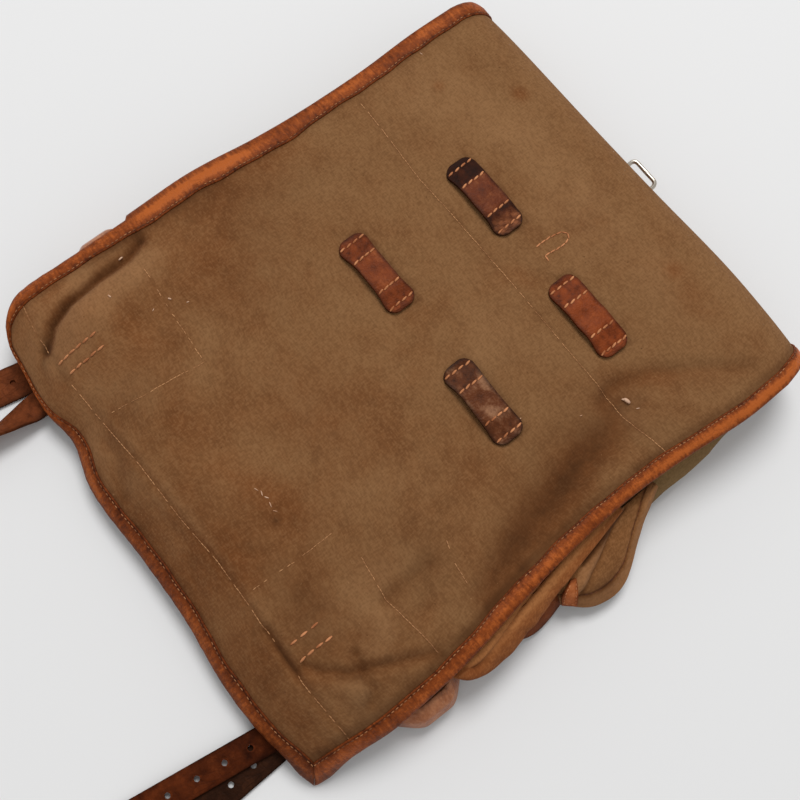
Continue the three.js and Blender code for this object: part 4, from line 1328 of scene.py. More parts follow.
    def line(self, corners: Sequence[tuple[float, float]], height: float) -> tuple[Array, Array]:
        """A line on the cloth's face.

        Args:
            corners: Its corners in plan.
            height: How far above the face it lies.

        Returns:
            Points and normals along it.
        """
        sides = [math.dist(start, end) for start, end in zip(corners[:-1], corners[1:])]
        run = np.concatenate(([0.0], np.cumsum(sides)))
        steps = np.linspace(0.0, run[-1], max(int(run[-1] / 1.5), 2))
        x = np.interp(steps, run, [corner[0] for corner in corners])
        y = np.interp(steps, run, [corner[1] for corner in corners])
        points, normals = self.on_front(x, y)
        return points + normals * (0.5 * self.thick + height), normals

    def sew(self) -> None:
        """Sews the flap's seams, bars and marks."""
        seams = Thread(self.frame, "flap_seams")
        for corners, skip in (
            (UPPER_SEAM, 0.04), (LOWER_SEAM[:3], 0.16), (LOWER_SEAM[3:10], 0.16), (LOWER_SEAM[10:], 0.16),
            (LEFT_PATCH_SEAM, 0.2), (RIGHT_PATCH_SEAM, 0.2), (RIGHT_PATCH_TOP, 0.1), (SMALL_SEAM, 0.2),
        ):
            seams.row(*self.line(corners, 0.15), replace(SEAM_STITCHING, skip=skip))
        seams.finish("flap_canvas", SEAM_THREAD)
        bars = Thread(self.frame, "flap_bar_stitches")
        for corners in BAR_STITCHES:
            bars.row(*self.line(corners, 0.3), BAR_STITCHING)
        bars.row(*self.line(KEEPER_STITCH, 0.2), KEEPER_STITCHING)
        bars.finish("flap_canvas", TAN_THREAD)
        frays = Thread(self.frame, "flap_frays")
        for fray in FRAYS:
            turn = math.radians(fray.turn)
            reach = 0.5 * fray.long * np.array([-1.0, 1.0])
            x, y = fray.x + reach * math.cos(turn), fray.y + reach * math.sin(turn)
            points, normals = self.on_front(x, y)
            lift = 0.5 * self.thick + 0.3 * fray.wide
            frays.row(points + normals * lift, normals, Stitching(fray.long, 0.9, 0.5 * fray.wide))
        frays.finish("flap_canvas", FRAY_THREAD)


@dataclass
class EdgeBinding(Piece):
    """The leather binding folded over the flap's edge, mitred at the lower right corner."""

    flap: FlapCloth
    wide: float = 13.0
    left_in_plan: tuple[float, float] = (9.8, 12.8)
    left_step: float = 112.0
    left_lip: float = 3.0
    bottom_in_plan: tuple[tuple[float, float], ...] = (
        (0, 8.5), (7, 8.0), (17, 0.9), (54, 0.9), (76, 3.2), (112, 8.5))
    tip: float = 5.2
    right_in_plan: float = 9.4
    short_of_end: float = 32.0
    cloth: float = 1.15
    nose: float = 0.16
    sewn_at: float = 0.86
    step: float = 2.6
    mitre_gap: float = 0.12

    def section(self) -> tuple[Array, Array]:
        """The binding's section: share of its width inwards, or out where negative, and its height."""
        outer = ((1.0, 1.15), (1.0, 1.9), (0.95, 2.35), (0.88, 2.2), (0.82, 2.5), (0.66, 2.85), (0.42, 3.0),
                 (0.2, 2.9), (0.05, 2.55), (-0.08, 1.9), (-0.15, 0.9), (-0.16, 0.0))
        under = [(inward, -height) for inward, height in reversed(outer[:-1])]
        inner = ((0.6, -1.15), (0.2, -1.15), (0.02, -1.0), (0.02, 1.0), (0.2, 1.15), (0.6, 1.15),
                 (1.0, 1.15))
        rows = np.array([*outer, *under, *inner])
        return rows[:, 0], rows[:, 1]

    def strip(self, across: Array, along: Array, seed: int) -> tuple[Skin, Array, Array]:
        """The binding along a stretch of the flap's edge.

        Args:
            across: The edge's distances from the left.
            along: The edge's distances from the bottom.
            seed: Which unevenness it has.

        Returns:
            The skin, and the points and normals of its row of stitches.
        """
        flap = self.flap
        left_in = lerp(*self.left_in_plan, smoothstep(along, 85.0, 150.0))
        bottom_in = np.interp(across, *zip(*self.bottom_in_plan))
        lip_across = np.clip(across, left_in, flap.width - self.right_in_plan)
        lip_along = np.maximum(along, bottom_in)
        edge_points, _ = flap.at(across, along)
        run = run_along(edge_points)
        uneven = 1.0 + 0.05 * ripple(run, np.zeros_like(run), 38.0, seed)
        inward, height = self.section()
        grain = 0.16 * ripple(run[:, None], 9.0 * inward[None, :] * self.wide, 9.0, seed + 1)
        share = np.where(inward > 0, inward, 0.0)[None, :] * uneven[:, None]
        points, normals = flap.at(
            lerp(across[:, None], lip_across[:, None], share),
            lerp(along[:, None], lip_along[:, None], share))
        close, _ = flap.at(lerp(across, lip_across, 0.2), lerp(along, lip_along, 0.2))
        outward = unit(edge_points - close)
        from_tip = np.hypot(flap.width - across, along)
        inside, _ = flap.at(flap.width - 12.0, 12.0)
        tip, _ = flap.at(flap.width, 0.0)
        outward = unit(lerp(outward, unit(tip - inside), (1 - smoothstep(from_tip, 0.0, 9.0))[:, None]))
        on_left, on_right = across < 1, across > flap.width - 1
        past_step = smoothstep(along, self.left_step, self.left_step + 3)
        past_step = past_step * (1 - smoothstep(along, 190.0, 275.0)) * on_left
        pointed = self.tip * (1 - smoothstep(from_tip, 0.0, 30.0))
        pointed = pointed + 1.6 * (1 - smoothstep(along, 40.0, 90.0)) * on_right
        longer = self.left_lip * past_step + pointed
        beyond = np.where(inward < 0, -inward, 0.0)[None, :] * (self.wide + longer[:, None] / self.nose)
        swell = np.where(np.abs(height) > self.cloth, grain * np.sign(height), 0.0)
        skin = points + normals * (height + swell)[..., None] + outward[:, None, :] * beyond[..., None]
        girth = np.cumsum(np.abs(np.gradient(inward))) * self.wide
        flat = pair(girth, run[:, None])
        # Dark along the lips' cut edges, partly painted shade where they meet the canvas, and a little
        # along the nose.
        edge = hump(np.abs(inward) - 0.9, 0.07) + 0.25 * hump(inward + 0.05, 0.1)
        worn = hump(inward - 0.35, 0.3) * (height > 0)
        # Lighter on the right over the top turn, and along a stretch of the left.
        lighter_stretches = 0.7 * smoothstep(along, 200.0, 310.0) * (across > 1)
        bright = 0.9 * smoothstep(along, 105.0, 125.0) * (1 - smoothstep(along, 185.0, 240.0))
        lighter_stretches = lighter_stretches + bright * on_left
        rubbed = 0.45 + 0.3 * ripple(run, np.zeros_like(run), 60.0, seed + 2) + lighter_stretches
        # Darker along the bottom, more so near the mitred corner.
        darker_bottom = (0.25 + 0.25 * (from_tip < 40)) * (along < 1) * (across > 80)
        paint = {
            Paint.EDGE: edge[None, :] + 0.3 * past_step[:, None] * hump(inward + 0.03, 0.03)[None, :],
            Paint.WEAR_AND_LIGHT: worn[None, :] * rubbed[:, None],
            Paint.STAIN_AND_SHADE: np.broadcast_to(darker_bottom[:, None], skin.shape[:2]),
        }
        inset = self.sewn_at * uneven
        sewn, sewn_normal = flap.at(lerp(across, lip_across, inset), lerp(along, lip_along, inset))
        return Skin(skin, flat, paint), sewn + sewn_normal * 2.3, sewn_normal

    def build(self) -> None:
        """Makes the two strips and their stitches."""
        flap = self.flap
        top = flap.front_run + flap.turn_run - self.short_of_end
        down = stations(0.0, top, self.step)[::-1]
        bottom = stations(0.0, flap.width - self.mitre_gap, self.step)[1:]
        across = np.concatenate((np.zeros_like(down), bottom))
        along = np.concatenate((down, np.zeros_like(bottom)))
        skin, sewn, normals = self.strip(across, along, 11)
        leather = BINDING_LEATHER.material()
        made = self.mesh("leather_binding_left_bottom", skin, weld=True)
        self.settle(made, "binding_leather", leather, "binding_left_bottom")
        up = stations(self.mitre_gap, top, self.step)
        skin_right, sewn_right, normals_right = self.strip(np.full_like(up, flap.width), up, 17)
        made = self.mesh("leather_binding_right", skin_right, weld=True)
        self.settle(made, "binding_leather", leather, "binding_right")
        thread = Thread(self.frame, "binding_stitches")
        thread.row(sewn, normals, replace(BINDING_STITCHING, skip=0.15))
        thread.row(sewn_right, normals_right, replace(BINDING_STITCHING, skip=0.1))
        thread.finish("binding_leather", BINDING_THREAD)


@dataclass(frozen=True)
class LoopPlan:
    """One of the flap's four leather loops."""

    node: str
    x: float
    y: float
    long: float
    wide: float
    arch: float
    waist: float
    finish: LeatherFinish
    dark_ends: float
    scuff: float


FRONT_LOOPS = table(
    LoopPlan,
    ("front_loop_upper_left", -54, 107.5, 63, 24, 4.7, 0.06, LOOP_BROWN, 1.0, 0.1),
    ("front_loop_lower_left", -55, 13, 62, 23, 4.7, 0.16, LOOP_RED, 0.0, 0.35),
    ("front_loop_upper_right", 55, 107, 63, 24.5, 4.7, 0.06, LOOP_ORANGE, 0.0, 0.1),
    ("front_loop_lower_right", 57, 13, 63, 23.5, 5.8, 0.1, LOOP_DARK, 0.15, 0.7),
)


@dataclass
class FrontLoops(Piece):
    """The four stitched leather loops on the flap."""

    flap: FlapCloth
    leather: float = 2.2
    corner: float = 8.0
    stitch_rows: tuple[float, ...] = (-0.422, -0.212, 0.212, 0.422)

    def place(self, plan: LoopPlan, along: Array, side: Array) -> tuple[Array, Array]:
        """Points and normals of a loop's middle surface.

        Args:
            plan: The loop.
            along: Shares of its length, from -0.5 to 0.5.
            side: Shares of its width, from -0.5 to 0.5.

        Returns:
            The points and normals.
        """
        raised = smoothstep(0.5 - np.abs(along), 0.07, 0.33)
        wobble = 1 + 0.02 * ripple(along * plan.long, np.sign(side) * 7.0, 19.0, int(plan.x) % 97)
        x = plan.x + along * plan.long
        y = plan.y + side * plan.wide * (1 - plan.waist * raised) * wobble
        lift = 0.5 * self.flap.thick + 0.2 + 0.5 * self.leather
        height = self.flap.level(x, y) + lift + 0.5 * plan.arch * raised
        height = height + 0.35 * (1 - 4 * side * side)
        for row in self.stitch_rows:
            height = height - 0.4 * hump(along - row, 0.022)
        height = height + 0.18 * ripple(x, y, 14.0, int(plan.y) + 5)
        points = stack(x, y, height)
        normal = self.flap.on_front(np.asarray(plan.x, float), np.asarray(plan.y, float))[1]
        return points, np.broadcast_to(normal, points.shape)

    def build(self) -> None:
        """Makes the loops and their stitches."""
        thread = Thread(self.frame, "loop_stitches")
        for plan in FRONT_LOOPS:
            across, along = np.meshgrid(np.linspace(0, plan.long, 53), np.linspace(0, plan.wide, 23))
            dx, dy = np.minimum(across, plan.long - across), np.minimum(along, plan.wide - along)
            round_x, round_y = round_corner(dx, dy, self.corner)
            share = np.where(across < plan.long / 2, round_x, plan.long - round_x) / plan.long - 0.5
            side = np.where(along < plan.wide / 2, round_y, plan.wide - round_y) / plan.wide - 0.5
            points, _ = self.place(plan, share, side)
            rim = np.minimum(dx, dy)
            ends = smoothstep(np.abs(share), 0.2, 0.24)
            patches = ripple(across, along, 16.0, 21 + int(plan.y))
            flaking = smoothstep(ripple(across, along, 5.0, 77), -0.3, 0.4)
            fretted = plan.dark_ends * (smoothstep(share, 0.22, 0.34) * (0.6 + 0.4 * flaking))
            paint = {
                Paint.STAIN_AND_SHADE: plan.dark_ends * ends * (0.95 - 0.8 * fretted)
                + 0.15 * smoothstep(patches, 0.2, 1.0),
                Paint.EDGE: hump(rim, 2.0),
                Paint.WEAR_AND_LIGHT: plan.scuff * smoothstep(patches, -0.2, 0.9) + 0.25 * (1 - ends) + fretted,
            }
            made = self.mesh(plan.node + "_leather", Skin(points, pair(across, along), paint))
            self.thicken(made, self.leather, 0.6)
            self.settle(made, "loop_leather", plan.finish, plan.node)
            for row in self.stitch_rows:
                sides = np.linspace(-0.47, 0.47, 12)
                tilt = np.full_like(sides, row) + 0.012 * np.sign(plan.x) * sides
                line, normals = self.place(plan, tilt, sides)
                thread.row(line + normals * (0.5 * self.leather + 0.35), normals, LOOP_STITCHING)
        thread.finish("loop_leather", TAN_THREAD)


@dataclass
class CanvasBody(Piece):
    """The canvas bag: an open tray with soft walls on the back panel."""

    half_x: float = 174.0
    half_y: float = 187.4
    middle_y: float = 5.4
    corner: float = 28.0
    floor_low: float = 2.9
    floor_high: float = 4.9
    rise_right: float = 0.88
    rise_left: float = 1.04
    rise_top: float = 1.04
    rise_bottom: float = 0.9
    around: int = 288

    def __post_init__(self) -> None:
        """Reads the tables."""
        self.lean_left, self.lean_right = columns(BODY_LEANS)

    def wall_out(self, z: Array, side: Side) -> Array:
        """How far a side wall's outside stands out from the pack's middle at a height."""
        rise = self.rise_right if side is Side.RIGHT else self.rise_left
        out, heights = zip(*BODY_WALL[:WALL_OUTSIDE_ROWS])
        level = self.floor_low + (np.asarray(z, float) - self.floor_low) / rise
        return self.half_x + np.interp(level, heights, out)

    def outline(self) -> tuple[Array, Array, Array]:
        """Points, outward directions and run of the back panel's round outline."""
        straight_x, straight_y = self.half_x - self.corner, self.half_y - self.corner
        quarter = 0.5 * math.pi * self.corner
        sides = np.array([straight_y, quarter, 2 * straight_x, quarter, 2 * straight_y, quarter,
                          2 * straight_x, quarter, straight_y])
        ends = np.concatenate(([0.0], np.cumsum(sides)))
        run = np.linspace(0.0, ends[-1], self.around + 1)
        headings = np.interp(run, ends, np.array([0, 0, 90, 90, 180, 180, 270, 270, 360, 360], float))
        outward = pair(np.cos(np.radians(headings)), np.sin(np.radians(headings)))
        ahead = pair(-outward[:, 1], outward[:, 0])
        steps = 0.5 * (ahead[1:] + ahead[:-1]) * np.diff(run)[:, None]
        points = np.concatenate(([[self.half_x, 0.0]], [self.half_x, 0.0] + np.cumsum(steps, axis=0)))
        return points, outward, run

    def build(self) -> None:
        """Makes the tray."""
        outline, outward, run = self.outline()
        index = np.arange(len(BODY_WALL), dtype=float)
        fine = np.linspace(0.0, index[-1], 56)
        out, height = (Column(index, values)(fine) for values in zip(*BODY_WALL))
        pull = np.array([0.0, 0.3, 0.6, 0.85, 0.97])
        shrink = np.concatenate((pull, np.ones_like(fine), pull[::-1]))
        out = np.concatenate((np.full(5, out[0]), out, np.full(5, out[-1])))
        height = np.concatenate((np.full(5, self.floor_low), height, np.full(5, self.floor_high)))
        flat_xy = (outline[None] + outward[None] * out[:, None, None]) * shrink[:, None, None]
        x, y = flat_xy[..., 0], flat_xy[..., 1] + self.middle_y
        sideways = np.where(outward[:, 0] > 0, self.rise_right, self.rise_left)
        endways = np.where(outward[:, 1] > 0, self.rise_top, self.rise_bottom)
        rise = sideways * outward[:, 0] ** 2 + endways * outward[:, 1] ** 2
        z = self.floor_low + (height[:, None] - self.floor_low) * rise[None]
        lean = np.where(x > 0, self.lean_right(y), -self.lean_left(y))
        x = x + lean * np.abs(outward[None, :, 0]) ** 3 * smoothstep(height, self.floor_low, 8.0)[:, None]
        standing = smoothstep(height, 6.0, 20.0)[:, None] * shrink[:, None] ** 4
        level = height[:, None]
        sag = 0.9 * ripple(run[None], level * 2.0, 60.0, 31) + 0.5 * ripple(run[None], level, 24.0, 32)
        sag = np.minimum(sag, 0.15) * standing
        x, y = x + sag * outward[None, :, 0], y + sag * outward[None, :, 1]
        brim = smoothstep(level, 30.0, 40.0)
        z = z + 0.8 * standing * ripple(run[None], np.zeros_like(z), 75.0, 33) * brim
        points = stack(x, y, z)
        steps = np.hypot(np.diff(out * shrink + 150 * shrink), np.diff(height))
        section = np.concatenate(([0.0], np.cumsum(steps)))
        flat = pair(run, section[:, None])
        shape = points.shape[:2]
        low = np.broadcast_to(np.exp(-((height - self.floor_low) / 6.0))[:, None], shape)
        # Stained and darker near the floor, with painted shade in the wall's dents, and paler along the top
        # rim.
        paint = {
            Paint.STAIN_AND_SHADE: 0.35 * low + 0.3 * np.maximum(ripple(run[None], level * 3, 70.0, 35), 0.0),
            Paint.EDGE: 0.3 * low + 0.25 * np.maximum(-sag, 0.0),
            Paint.WEAR_AND_LIGHT: np.broadcast_to(0.35 * smoothstep(height, 34.0, 40.0)[:, None], shape),
        }
        made = self.mesh("canvas_bag", Skin(points, flat, paint), weld=True)
        self.settle(made, "body_canvas", BODY_CANVAS, "canvas_body")


@dataclass
class SideLoops(Piece):
    """The leather loops that bow out from the body's two sides."""

    body: CanvasBody
    leather: float = 2.2
    low: float = 7.5
    high: float = 29.0

    def build(self) -> None:
        """Makes both loops."""
        leather = SIDE_LOOP_LEATHER.material()
        for side, node, middle, long, bow in (
            (Side.LEFT, "side_loop_left", -116.0, 72.0, 23.0),
            (Side.RIGHT, "side_loop_right", -131.0, 71.0, 15.0),
        ):
            along, z = np.meshgrid(np.linspace(-0.5, 0.5, 49), np.linspace(self.low, self.high, 17))
            y = middle + along * long
            lean = self.body.lean_right(y) if side is Side.RIGHT else self.body.lean_left(y)
            spread = lerp(1.17, 0.85, (z - self.low) / (self.high - self.low))
            bowed = bow * spread * smoothstep(0.5 - np.abs(along), 0.02, 0.38)
            crown = 0.5 * (1 - ((z - 18.2) / 10.8) ** 2)
            out = self.body.wall_out(z, side) + lean + 0.7 + 0.5 * self.leather + bowed + crown
            points = stack(side.value * out, y, z)
            flat = pair((along + 0.5) * long * 1.1, z)
            rim = np.minimum(np.minimum(z - self.low, self.high - z), (0.5 - np.abs(along)) * long)
            paint = {
                Paint.EDGE: 0.7 * hump(rim, 1.8),
                Paint.WEAR_AND_LIGHT: 0.6 * smoothstep(bowed, 3.0, bow),
                Paint.STAIN_AND_SHADE: 0.5 * smoothstep(np.abs(along), 0.36, 0.5),
            }
            if side is Side.LEFT:
                points, flat = points[:, ::-1], flat[:, ::-1]
                paint = {key: value[:, ::-1] for key, value in paint.items()}
            made = self.mesh(node + "_leather", Skin(points, flat, paint))
            self.thicken(made, self.leather, 0.5)
            self.settle(made, "loop_leather", leather, node)


@dataclass
class SideCloth(Piece):
    """The side flap, ear, leather corner and strap on the pack's right side."""

    body: CanvasBody
    cloth: float = 1.8
    leather: float = 2.2
    flap_root: tuple[float, float] = (155.0, 36.9)
    flap_crest: float = 37.3
    flap_groove: tuple[tuple[float, float], ...] = (
        (24, 14.0), (-10.5, 15.5), (-31.5, 17.5), (-52, 19.5), (-74, 24.0), (-98, 29.0))
    ear_root: tuple[float, float] = (167.2, 33.7)
    ear_belly: float = 4.0
    strap_top: float = 21.0

    @staticmethod
    def hung(y: Array, down: Array, section: Sequence[tuple[Numbers, Numbers]]) -> Array:
        """Points of cloth that hangs down the wall.

        Args:
            y: Levels along the wall.
            down: Shares of the way from the root to the edge.
            section: X and Z of the control points from the root to the edge.

        Returns:
            The points.
        """
        at = spline([pair(x + 0.0 * y, z + 0.0 * y) for x, z in section], down)
        return stack(at[..., 0], y, at[..., 1])

    def side_flap_points(self, y: Array, down: Array) -> Array:
        """Points of the side flap from its root over its crest to its lower edge."""
        out, low = (column(y) for column in columns(SIDE_FLAP_ROWS))
        (x, z), crest = self.flap_root, self.flap_crest
        return self.hung(y, down, (
            (x, z), (lerp(x, out, 0.42), crest), (lerp(x, out, 0.75), lerp(low, crest, 0.95)),
            (out, lerp(low, crest, 0.55)), (out - 1.5, low)))

    def ear_points(self, y: Array, down: Array) -> Array:
        """Points of the ear from its root to its outer edge."""
        out, low = (column(y) for column in columns(EAR_ROWS))
        x, z = self.ear_root
        return self.hung(y, down, (
            (x, z), (lerp(x, out, 0.35), lerp(z, low, 0.35) + self.ear_belly * 0.6),
            (lerp(x, out, 0.7), lerp(z, low, 0.7) + self.ear_belly), (out, low)))

    @staticmethod
    def flat_of(points: Array) -> Array:
        """The flat pattern of a grid of points, by its lengths across and along."""
        across = np.linalg.norm(np.diff(points, axis=1), axis=-1)
        along = np.linalg.norm(np.diff(points, axis=0), axis=-1)
        across = np.cumsum(np.pad(across, ((0, 0), (1, 0))), axis=1)
        along = np.cumsum(np.pad(along, ((1, 0), (0, 0))), axis=0)
        return pair(across, along)

    def build_side_flap(self) -> None:
        """Makes the light canvas that rolls out from under the lid."""
        first, last = SIDE_FLAP_ROWS[0].y, SIDE_FLAP_ROWS[-1].y
        y, down = np.meshgrid(np.linspace(first, last, 112), np.linspace(0, 1, 52))
        points = self.side_flap_points(y, down)
        normals = -surface_normals(points)
        flat = self.flat_of(points)
        inside = smoothstep(down, 0.35, 0.6) * smoothstep(last - y, 0.0, 30.0)
        sag = 0.7 * ripple(y, flat[..., 1], 34.0, 41) + 0.35 * ripple(y, flat[..., 1], 13.0, 42)
        hem = 0.5 * hump(down - 0.94, 0.03) - 0.5 * hump(down - 0.86, 0.018)
        groove = hump(distance_to_line(y, down * 50, self.flap_groove), 1.8)
        # Painted light on the roll's upper part next to the binding, and painted shade on its lower part.
        lit_upper_roll = 0.4 * (1 - smoothstep(down, 0.4, 0.55))
        shaded_lower_roll = smoothstep(down, 0.5, 0.75)
        tight = smoothstep(y, -24.0, -6.0) * smoothstep(down, 0.55, 0.75)
        points = points + normals * (((sag * inside + hem - 2.4 * groove) * (1 - tight))[..., None])
        # Stained towards the lower end; painted shade in sags, in the groove and on the lower part; painted
        # light and a painted highlight on the upper part and crest; a dark hem line.
        paint = {
            Paint.STAIN_AND_SHADE: 0.45 * smoothstep(-y, 70.0, 110.0) + 0.3 * np.maximum(-sag, 0.0)
            + 0.4 * shaded_lower_roll - lit_upper_roll,
            Paint.EDGE: 0.35 * hump(down - 0.86, 0.02) + groove + 0.3 * shaded_lower_roll - lit_upper_roll,
            Paint.WEAR_AND_LIGHT: 0.8 * (1 - smoothstep(down, 0.45, 0.6)) + 0.15,
        }
        made = self.mesh("light_side_flap", Skin(points, flat, paint))
        self.thicken(made, self.cloth)
        self.settle(made, "side_canvas", SIDE_CANVAS, "side_flap_right")

    def build_ear(self) -> None:
        """Makes the round hemmed ear, its fold, rib and stitches."""
        y, down = np.meshgrid(np.linspace(EAR_ROWS[0].y, EAR_ROWS[-1].y, 90), np.linspace(0, 1, 60))
        points = self.ear_points(y, down)
        normals = -surface_normals(points)
        flat = self.flat_of(points)
        reach = flat[-1:, :, 1] - flat[..., 1]
        hem_line = 11.5
        hem = 0.5 * smoothstep(hem_line - reach, 0.0, 1.6) - 0.6 * hump(reach - hem_line, 1.0)
        on_cloth = down * 42
        rib_line = distance_to_line(y, on_cloth, ((43, 1.0), (31, 4.6), (21, 8.0), (1, 16.0), (-13, 25.6)))
        rib = 2.4 * hump(rib_line, 2.4)
        crease_line = distance_to_line(y, on_cloth, ((33, 8.5), (22, 12.0), (3, 20.5), (-9, 29.0)))
        crease = hump(crease_line, 1.6)
        # Painted shadow in the slit between the side flap and the ear.
        slit_shadow = hump(distance_to_line(y, on_cloth, ((46, 4.5), (20, 7.6), (2, 11.0))), 2.4)
        sag = 0.5 * ripple(y, flat[..., 1], 26.0, 45)
        lift = hem + rib - 1.3 * crease + sag * smoothstep(down, 0.05, 0.3)
        points = points + normals * lift[..., None]
        seam = hump(reach - hem_line, 1.2)
        # Dark hem seam; painted shade at the root, in the crease and in the slit; darker towards the lower
        # corner; paler on the rib and beside the hem.
        paint = {
            Paint.STAIN_AND_SHADE: 0.6 * seam,
            Paint.EDGE: 0.75 * seam + 0.5 * hump(down, 0.1) + 0.6 * crease + 1.3 * slit_shadow
            + smoothstep(26 - y, 0.0, 22.0) * smoothstep(down, 0.5, 0.85),
            Paint.WEAR_AND_LIGHT: (0.9 * np.clip(rib, 0, 1) + 0.2) * (1 - slit_shadow)
            + 0.5 * smoothstep(hem_line - reach, 1.0, 4.0),
        }
        made = self.mesh("hemmed_ear", Skin(points, flat, paint))
        self.thicken(made, self.cloth)
        self.settle(made, "side_canvas", EAR_CANVAS, "side_ear_right")
        thread = Thread(self.frame, "ear_stitches")
        sewn = np.arange(6, points.shape[1] - 8)
        nearest = np.argmin(np.abs(reach[:, sewn] - hem_line), axis=0)
        row, up = points[nearest, sewn], normals[nearest, sewn]
        thread.row(row + up * (0.5 * self.cloth + 0.15), up, EAR_STITCHING)
        thread.finish("side_canvas", EAR_THREAD)

    def build_patch(self) -> None:
        """Makes the stitched leather triangle on the ear's lower corner."""
        start, end = columns(EAR_PATCH_ROWS)
        first, last = EAR_PATCH_ROWS[0].down, EAR_PATCH_ROWS[-1].down
        share, down = np.meshgrid(np.linspace(0, 1, 22), np.linspace(first, last, 26))
        y = EAR_ROWS[0].y + lerp(start(down), end(down), share)
        h = 0.01
        slope_down = self.ear_points(y, down + h) - self.ear_points(y, down - h)
        slope_y = self.ear_points(y + 0.5, down) - self.ear_points(y - 0.5, down)
        normals = unit(np.cross(slope_down, slope_y))
        normals = np.where(normals[..., 2:] > 0, normals, -normals)
        points = self.ear_points(y, down) + normals * (0.5 * self.cloth + 0.9 + 0.5 * self.leather)
        rim = np.minimum(np.minimum(share, 1 - share) * 8.0, np.minimum(down - first, last - down) * 36.0)
        paint = {Paint.EDGE: 0.6 * hump(rim, 1.0), Paint.WEAR_AND_LIGHT: smoothstep(rim, 0.5, 3.0) * 0.6}
        made = self.mesh("stitched_corner", Skin(points, self.flat_of(points), paint))
        self.thicken(made, self.leather, 0.5)
        self.settle(made, "binding_leather", PATCH_LEATHER, "ear_patch")
        thread = Thread(self.frame, "corner_stitches")
        inset = 3
        top = points + normals * (0.5 * self.leather + 0.15)
        for line, up in (
            (top[inset:-inset, inset], normals[inset:-inset, inset]),
            (top[inset:-inset, -inset - 1], normals[inset:-inset, -inset - 1]),
            (top[-inset - 1, inset:-inset], normals[-inset - 1, inset:-inset]),
        ):
            thread.row(line, up, CORNER_STITCHING)
        thread.finish("binding_leather", TAN_THREAD)

    def build_strap(self) -> None:
        """Makes the piece of strap under the side flap."""
        out, low = columns(SIDE_STRAP_ROWS)
        first, last = SIDE_STRAP_ROWS[0].y, SIDE_STRAP_ROWS[-1].y
        y, down = np.meshgrid(np.linspace(first, last, 44), np.linspace(0, 1, 20))
        top_x = float(self.body.wall_out(np.asarray(self.strap_top), Side.RIGHT)) + 0.5 * self.leather
        bow = 1.5 * np.sin(math.pi * down)
        points = stack(lerp(top_x, out(y), down) + bow, y, lerp(self.strap_top, low(y), down) + bow)
        rim = np.minimum(np.minimum(down, 1 - down) * 18.0, np.minimum(y - first, last - y))
        paint = {Paint.EDGE: 0.7 * hump(rim, 1.6), Paint.WEAR_AND_LIGHT: 0.4 * smoothstep(rim, 1.0, 5.0)}
        made = self.mesh("under_flap_strap", Skin(points, self.flat_of(points), paint))
        self.thicken(made, self.leather, 0.5)
        self.settle(made, "strap_leather", STRAP_LIGHT, "side_strap_right")

    def build(self) -> None:
        """Makes the pieces from the wall outwards."""
        self.build_strap()
        self.build_ear()
        self.build_patch()
        self.build_side_flap()


@dataclass(frozen=True)
class StrapPlan:
    """A flat leather strap along +Y, by its places from its free end on."""

    node: str
    y: Sequence[float]
    x: Sequence[float]
    z: Sequence[float]
    roll: Sequence[float]
    wide: Sequence[float]
    holes: Sequence[float]
    leather: float
    finish: LeatherFinish
    hole_floor: float = -6.0
    # Painted shade towards the flap, where the strap runs under it.
    grime: float = 0.0


